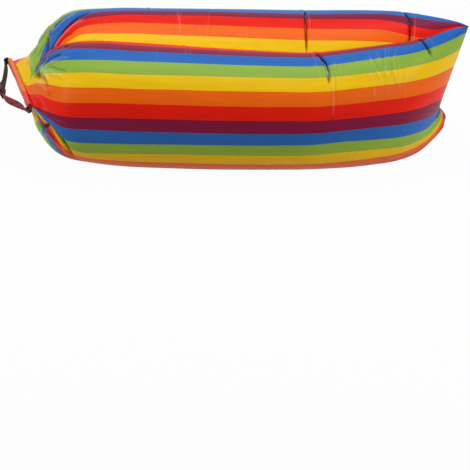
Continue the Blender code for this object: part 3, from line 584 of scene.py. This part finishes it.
def fold(tube, side):
    """Presses the creases, folds and puckers into a tube's cloth, with faint ones all over it."""
    mesh = tube.data
    along, angle = cloth_places(mesh)
    normals = normals_of(mesh)
    chance = random.Random(40 + side)
    faint = []
    faint_folds = 110
    for _ in range(faint_folds):
        at, turn = chance.uniform(0.12, 1.78), chance.uniform(-110, 230)
        drift = [chance.uniform(-0.012, 0.012) for _ in range(3)]
        reach = chance.uniform(6, 20)
        line = [(at + shift, turn + reach * step) for step, shift in enumerate(drift)]
        half, way = chance.uniform(0.004, 0.009), chance.choice((-1, -1, 1))
        faint.append((half, way * chance.uniform(0.0004, 0.0013), *line))
    sunk, painted_fold_shading = np.zeros(len(mesh.vertices)), np.zeros(len(mesh.vertices))
    round_hoop = hoop_angles(side, along, angle)
    # The far tube's outer puckers lie lower, since its crest is smooth.
    lower = 0 if side < 0 else 22
    drawn = [(angle, fold_line) for fold_line in creases[side] + inner_puckers + tuple(faint)]
    drawn += [(angle - lower, fold_line) for fold_line in outer_puckers]
    drawn += [(round_hoop, fold_line) for fold_line in neck_folds[side]]
    for turn_of, (half, depth, *line) in drawn:
        turns = [turn for _, turn in line]
        reach = [distance for distance, _ in line]
        near = np.flatnonzero((along > min(reach) - half) & (along < max(reach) + half)
                              & (turn_of > min(turns) - 8) & (turn_of < max(turns) + 8))
        off, share = off_line(line, along[near], turn_of[near])
        fade = np.clip(6 * np.minimum(share, 1 - share) + 0.1, 0, 1)
        slope = np.clip(1 - off / half, 0, 1)
        sunk[near] += depth * slope ** 1.6 * fade
        painted_fold_shading[near] += depth / 0.007 * slope ** 2 * fade
    turned = np.radians(angle)
    pleat = np.abs(np.sin(9 * turned + 1.4 * np.sin(3 * turned + side) + 5 * along)) - 0.6
    sunk += 0.0025 * pleat * np.exp(-((along - 0.075) / 0.045) ** 2) * (along > 0.0116)
    sunk += 0.0018 * pleat * np.exp(-((along - 1.80) / 0.035) ** 2)
    settle(mesh, points_of(mesh) - normals * sunk[:, None], side)
    # The depth of the folds, and of the pleats at both ends, is also kept as an attribute with which the
    # cloth's material paints shade into their bottoms and highlights onto their ridges.
    at_mouth, at_prow = np.exp(-((along - 0.070) / 0.045) ** 2), np.exp(-((along - 1.80) / 0.035) ** 2)
    painted_fold_shading += 0.25 * pleat * (at_mouth + at_prow)
    mesh.attributes.new("painted_fold_shading", "FLOAT", "POINT").data.foreach_set("value", np.clip(painted_fold_shading, -1, 1))


def finish(name, roughness, specular=0.5):
    """A new material, its shader, and a short way to add a node with its settings and its inputs."""
    made = bpy.data.materials.new(name)
    made.use_nodes = True
    shader = made.node_tree.nodes["Principled BSDF"]
    shader.inputs["Roughness"].default_value = roughness
    shader.inputs["Specular IOR Level"].default_value = specular

    def put(kind, inputs=None, **settings):
        node = made.node_tree.nodes.new("ShaderNode" + kind)
        for setting, value in settings.items():
            setattr(node, setting, value)
        for socket, value in (inputs or {}).items():
            if isinstance(value, bpy.types.NodeSocket):
                made.node_tree.links.new(value, node.inputs[socket])
            else:
                node.inputs[socket].default_value = value
        return node

    def maths(operation, first, second=0.0):
        return put("Math", {0: first, 1: second}, operation=operation).outputs[0]

    return made, shader, put, maths


def two_tone(put, factor, dark, light, ends=(0.0, 1.0)):
    """A colour that runs from a dark to a light one as its factor passes between two values."""
    ramp = put("ValToRGB", {0: factor})
    for element, end, colour in zip(ramp.color_ramp.elements, ends, (dark, light)):
        element.position = end
        element.color = (*colour, 1)
    return ramp.outputs[0]


def striped_cloth():
    """Coated polyester with a fine plain weave, its stripes painted by the cloth's own lines."""
    made, shader, put, maths = finish("striped_cloth", 0.42, 0.11)
    drawn = put("UVMap", uv_map="UVMap")
    place = put("SeparateXYZ", {0: drawn.outputs["UV"]})
    girth, thread_gap = 1.57, 0.0006
    along, turn = place.outputs["X"], maths("MULTIPLY", place.outputs["Y"], girth)

    # The purple stripe over the crest ends 7 degrees out, and each of the six colours is one stripe wide.
    stripe = maths("MULTIPLY", place.outputs["Y"], 360 / stripe_turn)
    stripe = maths("ADD", stripe, (seam_turn - crest_stripe_end) / stripe_turn + 24)
    stripe = maths("DIVIDE", maths("MODULO", stripe, 6.0), 6.0)
    ramp = put("ValToRGB", {0: stripe})
    ramp.color_ramp.interpolation = "CONSTANT"
    colours = ((0.020, 0.130, 0.47), (0.26, 0.43, 0.050), (0.85, 0.53, 0.004),
               (0.85, 0.130, 0.004), (0.79, 0.012, 0.003), (0.210, 0.006, 0.045))
    while len(ramp.color_ramp.elements) < 6:
        ramp.color_ramp.elements.new(0.5)
    for i, (element, colour) in enumerate(zip(ramp.color_ramp.elements, colours)):
        element.position = i / 6
        element.color = (*colour, 1)

    # The dye takes a little unevenly along the threads.
    flow = put("CombineXYZ", {0: maths("MULTIPLY", along, 6.0), 1: maths("MULTIPLY", turn, 30.0)})
    cloud = put("TexNoise", {"Vector": flow.outputs[0], "Scale": 1.0, "Detail": 3.0})
    shade = put("MapRange", {"Value": cloud.outputs["Fac"], "From Min": 0.3, "From Max": 0.7,
                             "To Min": 0.94, "To Max": 1.06})
    tinted = put("HueSaturation", {"Color": ramp.outputs["Color"], "Value": shade.outputs["Result"]})

    # The folds are painted by their depth too: painted shade darkens their bottoms, and a painted
    # highlight makes their ridges paler.
    painted_fold_shading = put("Attribute", attribute_name="painted_fold_shading").outputs["Fac"]
    deep = put("MapRange", {"Value": painted_fold_shading, "From Min": 0.06, "To Max": 0.85}).outputs["Result"]
    # Painted shade: the cloth's colour is darkened in the bottoms of the folds.
    painted_fold_shade = put("Mix", {0: deep, 6: tinted.outputs[0], 7: (0.20, 0.15, 0.19, 1)}, data_type="RGBA",
                 blend_type="MULTIPLY")
    # Painted highlight: the cloth's colour is made paler along the ridges of the folds.
    raised = put("MapRange", {"Value": painted_fold_shading, "From Min": -0.08, "From Max": -1.0, "To Max": 0.16})
    lightened = put("Mix", {0: raised.outputs["Result"], 6: painted_fold_shade.outputs[2], 7: (0.95, 0.90, 0.80, 1)},
                 data_type="RGBA")
    made.node_tree.links.new(lightened.outputs[2], shader.inputs["Base Color"])

    # Threads 0.6 mm apart, and the cloth's fine crinkles, which run round the tube.
    warp = maths("SINE", maths("MULTIPLY", along, 2 * math.pi / thread_gap))
    weft = maths("SINE", maths("MULTIPLY", turn, 2 * math.pi / thread_gap))
    weave = put("Bump", {"Height": maths("MULTIPLY", warp, weft), "Strength": 0.25, "Distance": 0.00008})
    run = put("CombineXYZ", {0: maths("MULTIPLY", along, 70.0), 1: maths("MULTIPLY", turn, 13.0)})
    crinkle = put("TexNoise", {"Vector": run.outputs[0], "Scale": 1.0, "Detail": 4.0, "Roughness": 0.55})
    bumps = put("Bump", {"Height": crinkle.outputs["Fac"], "Strength": 0.55, "Distance": 0.0022,
                         "Normal": weave.outputs[0]})
    made.node_tree.links.new(bumps.outputs[0], shader.inputs["Normal"])
    gloss = put("MapRange", {"Value": cloud.outputs["Fac"], "To Min": 0.36, "To Max": 0.52})
    made.node_tree.links.new(gloss.outputs["Result"], shader.inputs["Roughness"])
    return made


cloth_finish = striped_cloth()
for name, side in (("near", -1), ("far", 1)):
    places, turns = panel(side)
    cover = sewn_tube(f"striped_cover_{name}", places, stations, turns)
    inflate(cover, side)
    smoother = cover.modifiers.new("smoother", "SUBSURF")
    smoother.levels = smoother.render_levels = 1
    smoother.uv_smooth = "NONE"
    bpy.ops.object.modifier_apply(modifier="smoother")
    fold(cover, side)
    cover.data.materials.append(cloth_finish)
    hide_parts(f"cover_{name}")
    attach(cover, "lounger")
    cover.select_set(False)

# The air bladders: a clear plastic film bag inside each cover, which holds the air. Each is welded shut
# and lies 14 mm inside its cover, so its film comes through the cloth in the deepest folds.
film_finish, film, put, _ = finish("bladder_film", 0.22, 0.5)
film.inputs["Base Color"].default_value = (0.78, 0.83, 0.87, 1)
film.inputs["Transmission Weight"].default_value = 0.35
creeping = put("TexNoise", {"Vector": put("TexCoord").outputs["Object"], "Scale": 38.0, "Detail": 3.0})
creased = put("Bump", {"Height": creeping.outputs["Fac"], "Strength": 0.4, "Distance": 0.001})
film_finish.node_tree.links.new(creased.outputs[0], film.inputs["Normal"])
liner_inset, liner_reach = 0.014, (0.07, 1.66)
first, last = np.searchsorted(stations, liner_reach)
kept = np.arange(first, last + 1, 3)
for name, side in (("near", -1), ("far", 1)):
    places, turns = panel(side)
    liner = sewn_tube(f"bladder_{name}", places[kept][:, ::2], stations[kept], turns[kept][:, ::2])
    settle(liner.data, points_of(liner.data) - normals_of(liner.data) * liner_inset, side)
    liner.data.materials.append(film_finish)
    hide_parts(f"liner_{name}")
    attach(liner, "lounger")
    liner.select_set(False)

# The joining tapes: dark woven tape sewn in between the tubes along the valley, the belly and the prow.
# Only its edge shows, which stands out of the seam by a few millimetres.
tape_finish, tape, put, maths = finish("woven_tape", 0.62, 0.3)
spot = put("SeparateXYZ", {0: put("UVMap", uv_map="UVMap").outputs["UV"]})
slant = maths("ADD", spot.outputs["X"], spot.outputs["Y"])
twill = maths("SINE", maths("MULTIPLY", slant, 2 * math.pi / 0.0012))
rib = put("Bump", {"Height": twill, "Strength": 0.5, "Distance": 0.0002})
tape_finish.node_tree.links.new(rib.outputs[0], tape.inputs["Normal"])
worn = put("TexNoise", {"Vector": put("TexCoord").outputs["Object"], "Scale": 60.0, "Detail": 3.0})
tape_colour = two_tone(put, worn.outputs["Fac"], (0.020, 0.045, 0.170), (0.045, 0.085, 0.260), (0.3, 0.75))
tape_finish.node_tree.links.new(tape_colour, tape.inputs["Base Color"])


def band(name, edges, thickness, rounding, across=4):
    """A flat band between two edge lines, with the thickness of its cloth and softly rounded sides."""
    near_edge, far_edge = (np.array(edge) for edge in edges)
    count = len(near_edge)
    bpy.ops.mesh.primitive_grid_add(x_subdivisions=count - 1, y_subdivisions=across, size=1.0)
    made = bpy.context.object
    made.name = name
    mesh = made.data
    flat = points_of(mesh)
    row = np.rint((flat[:, 0] + 0.5) * (count - 1)).astype(int)
    share = flat[:, 1:2] + 0.5
    mesh.vertices.foreach_set("co", (near_edge[row] * (1 - share) + far_edge[row] * share).ravel())
    middle = (near_edge + far_edge) / 2
    walked = np.concatenate([[0.0], np.cumsum(np.linalg.norm(np.diff(middle, axis=0), axis=1))])
    breadth = np.linalg.norm(far_edge[0] - near_edge[0])
    corners = corners_of(mesh)
    drawn = np.stack([walked[row[corners]], share[corners, 0] * breadth], 1)
    mesh.uv_layers["UVMap"].data.foreach_set("uv", drawn.ravel())
    wall = made.modifiers.new("wall", "SOLIDIFY")
    wall.thickness = thickness
    wall.offset = 0.0
    wall.use_even_offset = True
    bpy.ops.object.modifier_apply(modifier="wall")
    soft = made.modifiers.new("soft", "BEVEL")
    soft.width = rounding
    soft.segments = 2
    soft.limit_method = "ANGLE"
    soft.angle_limit = math.radians(60)
    bpy.ops.object.modifier_apply(modifier="soft")
    bpy.ops.object.mode_set(mode="EDIT")
    bpy.ops.mesh.select_all(action="SELECT")
    bpy.ops.mesh.normals_make_consistent(inside=False)
    bpy.ops.object.mode_set(mode="OBJECT")
    bpy.ops.object.shade_smooth_by_angle(angle=math.radians(40))
    return made


def between_tubes(top):
    """Where the cloth of both tubes parts, above or below the flat that they share, mouth to prow."""
    pattern = eased(np.array(hoops[-1] + tube_hoops), stations, hoop_easing)
    line = []
    for crest, under, high, low, axis, width in pattern:
        if width <= axis or not 0.09 < crest < 1.75:
            continue
        middle, half = (high + low) / 2, (high - low) / 2
        reach = math.sqrt(1 - (axis / width) ** 2)
        height = middle + (half if top else -half) * reach
        share = (height - low) / (high - low)
        line.append((roll_middle.x + under + share * (crest - under), height))
    return line[::3]


tape_thickness, tape_depth, tape_lip = 0.0010, 0.030, 0.003
for name, top, way in (("valley", True, 1), ("belly", False, -1)):
    line = between_tubes(top)
    edges = ([(x, 0, z + way * tape_lip) for x, z in line],
             [(x, 0, z - way * (tape_depth - tape_lip)) for x, z in line])
    joint = band(f"{name}_tape", edges, tape_thickness, 0.0003)
    joint.data.materials.append(tape_finish)
    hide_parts(f"{name}_seam_tape")
    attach(joint, "lounger")
    joint.select_set(False)
crest, under, high, low = tube_hoops[-1][:4]
line = []
for share in np.linspace(0.004, 0.998, 60):
    swollen = pouch_swell * math.sin(math.pi * share / pinch_height) if share < pinch_height else 0
    line.append((roll_middle.x + under + share * (crest - under) + swollen, low + share * (high - low)))
prow_tape_depth = 0.015
edges = [(x + tape_lip, 0, z) for x, z in line], [(x - prow_tape_depth, 0, z) for x, z in line]
prow = band("prow_tape", edges, tape_thickness, 0.0003)
prow.data.materials.append(tape_finish)
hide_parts("prow_seam_tape")
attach(prow, "lounger")
prow.select_set(False)

# The rolled mouth: the hem of the covers, rolled up three turns round two plastic strips. It is the same
# coated cloth, where the orange stripe meets the red one, and its layers lie loosely on each other.
closure = Matrix.Translation((-0.873031, 0, 0.26)) @ Matrix.Rotation(mouth_skew, 4, "Z")
hem_finish, hem, put, maths = finish("hem_cloth", 0.42, 0.35)
spot = put("SeparateXYZ", {0: put("TexCoord").outputs["Object"]})
waver = put("TexNoise", {"Vector": put("TexCoord").outputs["Object"], "Scale": 30.0, "Detail": 2.0})
border = maths("ADD", spot.outputs["Y"], maths("MULTIPLY", waver.outputs["Fac"], 0.012))
border = maths("ADD", maths("MULTIPLY", border, 40.0), 4.1)
hem_colour = two_tone(put, border, (0.76, 0.035, 0.018), (0.86, 0.170, 0.030))
hem_shade = put("MapRange", {"Value": waver.outputs["Fac"], "To Min": 0.88, "To Max": 1.12})
hem_tint = put("HueSaturation", {"Color": hem_colour, "Value": hem_shade.outputs["Result"]})
hem_finish.node_tree.links.new(hem_tint.outputs[0], hem.inputs["Base Color"])
drawn = put("SeparateXYZ", {0: put("UVMap", uv_map="UVMap").outputs["UV"]})
threads = maths("MULTIPLY", maths("SINE", maths("MULTIPLY", drawn.outputs["X"], 2 * math.pi / 0.0006)),
                maths("SINE", maths("MULTIPLY", drawn.outputs["Y"], 2 * math.pi / 0.0006)))
grain = put("Bump", {"Height": threads, "Strength": 0.3, "Distance": 0.0001})
ripple = put("TexNoise", {"Vector": put("TexCoord").outputs["Object"], "Scale": 110.0, "Detail": 3.0})
hem_bump = put("Bump", {"Height": ripple.outputs["Fac"], "Strength": 0.5, "Distance": 0.0012,
                        "Normal": grain.outputs[0]})
hem_finish.node_tree.links.new(hem_bump.outputs[0], hem.inputs["Normal"])

turns, turn_steps, roll_half = 3, 10, 0.236
core, pitch, layer, straight = 0.0018, 0.0024, 0.0014, 0.0072
spiral = []
per_turn = 2 * (turn_steps + 1)
for i in range(turns * per_turn + 1):
    place = i % per_turn
    end = 1 if place <= turn_steps else -1
    angle = math.pi * (place if end > 0 else place - 1) / turn_steps
    radius = core + layer / 2 + pitch * i / per_turn
    spiral.append((radius * math.cos(angle), end * straight + radius * math.sin(angle)))
bpy.ops.mesh.primitive_grid_add(x_subdivisions=len(spiral) - 1, y_subdivisions=96, size=1.0)
roll = bpy.context.object
roll.name = "rolled_mouth"
flat = points_of(roll.data)
step = np.rint((flat[:, 0] + 0.5) * (len(spiral) - 1)).astype(int)
wound = np.array(spiral)
outward = step / (len(spiral) - 1)
y = flat[:, 1] * 2 * roll_half
# The layers puff unevenly, more the farther out they lie, and the whole roll wavers a little.
puff = 1 + 0.05 * outward * np.sin(31 * y + 2) + 0.04 * outward * np.sin(67 * y)
x = wound[step, 0] * puff + 0.0012 * np.sin(9 * y + 1) + 0.0006 * np.sin(41 * y)
puff = 1 + 0.02 * outward * np.sin(23 * y)
z = wound[step, 1] * puff + 0.0012 * np.sin(13 * y) - 0.0010 * np.cos(6.6 * y)
lie = np.stack([x, y, z, np.ones(len(x))], 1) @ np.array(closure).T
roll.data.vertices.foreach_set("co", lie[:, :3].ravel())
corners = corners_of(roll.data)
unrolled = np.concatenate([[0.0], np.cumsum(np.linalg.norm(np.diff(wound, axis=0), axis=1))])
drawn = np.stack([unrolled[step[corners]], y[corners]], 1)
roll.data.uv_layers["UVMap"].data.foreach_set("uv", drawn.ravel())
wall = roll.modifiers.new("wall", "SOLIDIFY")
wall.thickness = layer
wall.offset = 0.0
bpy.ops.object.modifier_apply(modifier="wall")
bpy.ops.object.shade_smooth_by_angle(angle=math.radians(50))
roll.data.materials.append(hem_finish)
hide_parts("closure_roll")
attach(roll, "lounger")
roll.select_set(False)

# The stiffeners: two flat plastic strips at the heart of the roll, which keep the mouth straight. They
# are cut from smooth sheet and lie hidden in the cloth.
strip_finish, strip, put, _ = finish("sheet_plastic", 0.38, 0.45)
fleck = put("TexNoise", {"Vector": put("TexCoord").outputs["Object"], "Scale": 240.0, "Detail": 4.0})
strip_colour = two_tone(put, fleck.outputs["Fac"], (0.62, 0.62, 0.58), (0.80, 0.80, 0.76))
strip_finish.node_tree.links.new(strip_colour, strip.inputs["Base Color"])
haze = put("Bump", {"Height": fleck.outputs["Fac"], "Strength": 0.15, "Distance": 0.0002})
strip_finish.node_tree.links.new(haze.outputs[0], strip.inputs["Normal"])
for name in ("mouth_stiffener_front", "mouth_stiffener_back"):
    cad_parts[name].data.materials.clear()
    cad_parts[name].data.materials.append(strip_finish)

# The anchor tabs: short ends of black webbing rolled into the mouth, to which the carry loop is sewn.
# The webbing is a herringbone weave of coarse polyester yarn, a little fuzzy and dull.


def webbing(name, dark, light, patches):
    """Woven strap: two colours of yarn in short patches, ribbed in a herringbone."""
    made, shader, put, maths = finish(name, 0.74, 0.25)
    shader.inputs["Sheen Weight"].default_value = 0.12
    shader.inputs["Sheen Roughness"].default_value = 0.5
    spot = put("SeparateXYZ", {0: put("UVMap", uv_map="UVMap").outputs["UV"]})
    run = put("CombineXYZ", {0: maths("MULTIPLY", spot.outputs["X"], 55.0),
                             1: maths("MULTIPLY", spot.outputs["Y"], 60.0)})
    cloud = put("TexNoise", {"Vector": run.outputs[0], "Scale": 1.0, "Detail": 2.0})
    yarns = two_tone(put, cloud.outputs["Fac"], dark, light, patches)
    made.node_tree.links.new(yarns, shader.inputs["Base Color"])
    zigzag = maths("PINGPONG", spot.outputs["Y"], 0.0038)
    yarn = maths("SINE", maths("MULTIPLY", maths("ADD", spot.outputs["X"], zigzag), 2 * math.pi / 0.0019))
    cord = maths("SINE", maths("MULTIPLY", spot.outputs["Y"], 2 * math.pi / 0.00095))
    ribs = put("Bump", {"Height": maths("ADD", yarn, maths("MULTIPLY", cord, 0.4)), "Strength": 0.8,
                        "Distance": 0.0003})
    made.node_tree.links.new(ribs.outputs[0], shader.inputs["Normal"])
    return made


black_finish = webbing("black_webbing", (0.008, 0.008, 0.010), (0.030, 0.028, 0.030), (0.35, 0.75))
webbing_width, webbing_thickness, tab_sticks_out = 0.030, 0.0018, 0.007
tab_length, tab_half_width = 0.050, 0.0078
for name, side in (("near", -1), ("far", 1)):
    tab_root = roll_half - tab_length + tab_sticks_out
    reach = [side * (tab_root + tab_length * share) for share in np.linspace(0, 1, 9)]
    edges = [[closure @ Vector((0, y, z)) for y in reach] for z in (-tab_half_width, tab_half_width)]
    tab = band(f"anchor_webbing_{name}", edges, webbing_thickness, 0.0004)
    tab.data.materials.append(black_finish)
    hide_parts(f"anchor_tab_{name}")
    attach(tab, "lounger")
    tab.select_set(False)

# The carry loop: one strap from each end of the roll, which meet at the buckle and hang together. Each
# doubles back past the end of the roll and is folded round its bar of the buckle and sewn to itself.
loop_droop, strap_slack = math.radians(30), 0.050
loop = closure @ Matrix.Rotation(-loop_droop, 4, "Y")
fit_gap, turn_radius, loop_reach, bend_steps = 0.0003, 0.010, 0.088, 12
web_bar, web_slot, plug_shoulder, socket_length, fold_tail = 0.0045, 0.0060, 0.009, 0.043, 0.022
out = roll_half + tab_sticks_out + fit_gap
turn = out + webbing_thickness
corner, back = Vector((-loop_reach, 0, 0)), Vector((-2 * turn_radius, turn, 0))
pull = (corner - back).normalized()
across = Vector((0, 0, 1))
inward = across.cross(pull)
socket_mouth = corner - pull * (fit_gap + plug_shoulder + web_slot + web_bar)
socket_bar = socket_mouth - pull * (socket_length + web_slot + web_bar / 2)
plug_bar = socket_mouth + pull * (fit_gap + plug_shoulder + web_slot + web_bar / 2)
fold_radius = web_bar / math.sqrt(2) + webbing_thickness / 2 + fit_gap


def strap_path(side, bar, way, count):
    """From the roll's axis out past its end and back, along a slack curve, and round the buckle's bar."""
    path = [Vector((0, side * out, 0))]
    for i in range(bend_steps + 1):
        angle = math.pi * i / bend_steps
        path.append(Vector((-turn_radius + turn_radius * math.cos(angle),
                            side * (turn + turn_radius * math.sin(angle)), 0)))
    start, meets = path[-1], bar + inward * fold_radius
    first, second = start - Vector((0, side * strap_slack, 0)), meets - way * strap_slack
    for i in range(1, count + 1):
        t = i / count
        leaving = start * (1 - t) ** 3 + first * 3 * t * (1 - t) ** 2
        path.append(leaving + second * 3 * t * t * (1 - t) + meets * t ** 3)
    for i in range(1, bend_steps + 1):
        angle = math.pi * i / bend_steps
        path.append(bar + inward * (fold_radius * math.cos(angle)) + way * (fold_radius * math.sin(angle)))
    tail = fold_radius - webbing_thickness - fit_gap
    path.append(bar - inward * fold_radius - way * (web_bar / 2))
    for share in (0.5, 0.65, 0.8, 1.0):
        path.append(bar + inward * tail - way * (fold_tail * share))
    return path


red_finish = webbing("red_and_black_webbing", (0.012, 0.006, 0.010), (0.40, 0.010, 0.030), (0.48, 0.52))
for name, side, bar, way, count, twist, colour in (("far", 1, socket_bar, pull, 20, 0.0, black_finish),
                                                   ("near", -1, plug_bar, -pull, 28, 40.0, red_finish)):
    path = strap_path(side, bar, way, count)
    edges = [[], []]
    for i, middle in enumerate(path):
        share = min(1.0, max(0.0, (i - bend_steps - 1) / count))
        turned = math.radians(twist) * math.sin(math.pi * share) ** 2
        breadth = Vector((math.sin(turned), 0, math.cos(turned))) * webbing_width / 2
        edges[0].append(loop @ (middle - breadth))
        edges[1].append(loop @ (middle + breadth))
    strap = band(f"carry_strap_{name}", edges, webbing_thickness, 0.0005, across=6)
    strap.data.materials.append(colour)
    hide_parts(f"strap_{name}")
    if name == "far":
        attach(strap, "carry_loop")
    else:
        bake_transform(strap)
    strap.select_set(False)

# The bar tacks: a dense zigzag of dark red thread across the end of each strap, which sews its fold
# down. Both are machine sewn and alike.
thread_finish, thread, put, maths = finish("sewing_thread", 0.6, 0.3)
ply = put("SeparateXYZ", {0: put("TexCoord").outputs["Object"]})
slant = maths("ADD", ply.outputs["Y"], ply.outputs["Z"])
twisted = maths("SINE", maths("MULTIPLY", slant, 2 * math.pi / 0.0006))
thread_colour = two_tone(put, twisted, (0.16, 0.010, 0.020), (0.30, 0.022, 0.040))
thread_finish.node_tree.links.new(thread_colour, thread.inputs["Base Color"])
plied = put("Bump", {"Height": twisted, "Strength": 0.5, "Distance": 0.0001})
thread_finish.node_tree.links.new(plied.outputs[0], thread.inputs["Normal"])
sewn = fold_radius - 1.5 * webbing_thickness - 2 * fit_gap - 0.00025
stitches, tack_width, tack_swing = 44, 0.0264, 0.0038
for name, bar, way, body in (("far", socket_bar, pull, "carry_loop"),
                             ("near", plug_bar, -pull, "buckle_plug_half")):
    middle = bar - way * (fold_tail * 0.75) + inward * sewn
    curve = bpy.data.curves.new(f"bar_tack_{name}", "CURVE")
    curve.dimensions = "3D"
    curve.bevel_depth = 0.00026
    curve.bevel_resolution = 2
    line = curve.splines.new("POLY")
    line.points.add(stitches)
    for i, point in enumerate(line.points):
        place = (middle + across * (-tack_width / 2 + tack_width * i / stitches)
                 + way * (tack_swing if i % 2 else -tack_swing))
        point.co = (*(loop @ place), 1)
    tack = bpy.data.objects.new(f"bar_tack_{name}", curve)
    bpy.context.scene.collection.objects.link(tack)
    bpy.context.view_layer.objects.active = tack
    tack.select_set(True)
    bpy.ops.object.convert(target="MESH")
    tack = bpy.context.object
    tack.data.materials.append(thread_finish)
    bpy.ops.object.shade_smooth()
    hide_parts(f"bartack_{name}")
    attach(tack, body)
    tack.select_set(False)

# The side-release buckle: a socket, and a plug with two springy prongs whose pads the fingers press. It
# is injection moulded in black plastic, with the fine grain of the mould and faintly rubbed patches.
buckle_finish, buckle, put, maths = finish("moulded_plastic", 0.42, 0.5)
at = put("TexCoord").outputs["Object"]
mould = put("TexNoise", {"Vector": at, "Scale": 1900.0, "Detail": 2.0})
lightened = put("TexNoise", {"Vector": at, "Scale": 160.0, "Detail": 4.0})
buckle_colour = two_tone(put, lightened.outputs["Fac"], (0.012, 0.012, 0.014), (0.050, 0.050, 0.054),
                         (0.45, 0.8))
buckle_finish.node_tree.links.new(buckle_colour, buckle.inputs["Base Color"])
buckle_gloss = put("MapRange", {"Value": lightened.outputs["Fac"], "To Min": 0.34, "To Max": 0.56})
buckle_finish.node_tree.links.new(buckle_gloss.outputs["Result"], buckle.inputs["Roughness"])
pitted = put("Bump", {"Height": mould.outputs["Fac"], "Strength": 0.35, "Distance": 0.0001})
buckle_finish.node_tree.links.new(pitted.outputs[0], buckle.inputs["Normal"])
for name in ("buckle_socket", "buckle_plug", "buckle_prong_upper", "buckle_prong_lower"):
    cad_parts[name].data.materials.clear()
    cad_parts[name].data.materials.append(buckle_finish)

# The floor is a wide pale sheet that lights the lounger from below. The camera sees it almost white, with
# a trace of the lounger's shadow.
bpy.ops.mesh.primitive_plane_add(size=60)
floor = bpy.context.object
floor.name = "floor"
floor_finish, ground, put, maths = finish("pale_floor", 0.9, 0.2)
ground.inputs["Base Color"].default_value = (0.80, 0.72, 0.62, 1)
path_kind = put("LightPath")
seen = maths("MAXIMUM", path_kind.outputs["Is Camera Ray"], path_kind.outputs["Is Glossy Ray"])
seen = maths("MAXIMUM", seen, path_kind.outputs["Is Transmission Ray"])
white = put("Emission", {"Color": (1, 1, 1, 1), "Strength": 1.0})
shown = put("MixShader", {0: maths("MULTIPLY", seen, 0.97), 1: ground.outputs[0], 2: white.outputs[0]})
surface = floor_finish.node_tree.nodes["Material Output"].inputs["Surface"]
floor_finish.node_tree.links.new(shown.outputs[0], surface)
floor.data.materials.append(floor_finish)
floor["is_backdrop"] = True

# Soft studio light: a big lamp high up at either end of the lounger's near side, a wide one overhead, and
# faint even light all round, before a backdrop that looks white.
world = bpy.context.scene.world or bpy.data.worlds.new("studio")
bpy.context.scene.world = world
world.use_nodes = True
around = world.node_tree.nodes
background = around["Background"]
background.inputs["Color"].default_value = (1, 1, 1, 1)
path_kind = around.new("ShaderNodeLightPath")
white = around.new("ShaderNodeBackground")
white.inputs["Color"].default_value = (1, 1, 1, 1)
white.inputs["Strength"].default_value = 1.0
background.inputs["Strength"].default_value = 0.15
seen = path_kind.outputs["Is Camera Ray"]
for kind in ("Is Glossy Ray", "Is Transmission Ray"):
    either = around.new("ShaderNodeMath")
    either.operation = "MAXIMUM"
    world.node_tree.links.new(seen, either.inputs[0])
    world.node_tree.links.new(path_kind.outputs[kind], either.inputs[1])
    seen = either.outputs[0]
backdrop = around.new("ShaderNodeMixShader")
world.node_tree.links.new(seen, backdrop.inputs[0])
world.node_tree.links.new(background.outputs[0], backdrop.inputs[1])
world.node_tree.links.new(white.outputs[0], backdrop.inputs[2])
world.node_tree.links.new(backdrop.outputs[0], around["World Output"].inputs["Surface"])
lamps = (
    ("left", (-3.2, -1.2, 1.9), 1.0, 46),
    ("right", (3.2, -1.6, 1.7), 1.0, 52),
    ("top", (0.0, 0.3, 3.4), 1.8, 62),
)
for name, place, size, power in lamps:
    lamp_data = bpy.data.lights.new(name, "AREA")
    lamp_data.size = size
    lamp_data.energy = power
    lamp = bpy.data.objects.new(name, lamp_data)
    bpy.context.scene.collection.objects.link(lamp)
    lamp.location = place
    lamp.rotation_euler = (Vector((0, 0, 0.2)) - Vector(place)).to_track_quat("-Z", "Y").to_euler()
bpy.context.scene.view_settings.view_transform = "Standard"

low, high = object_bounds()
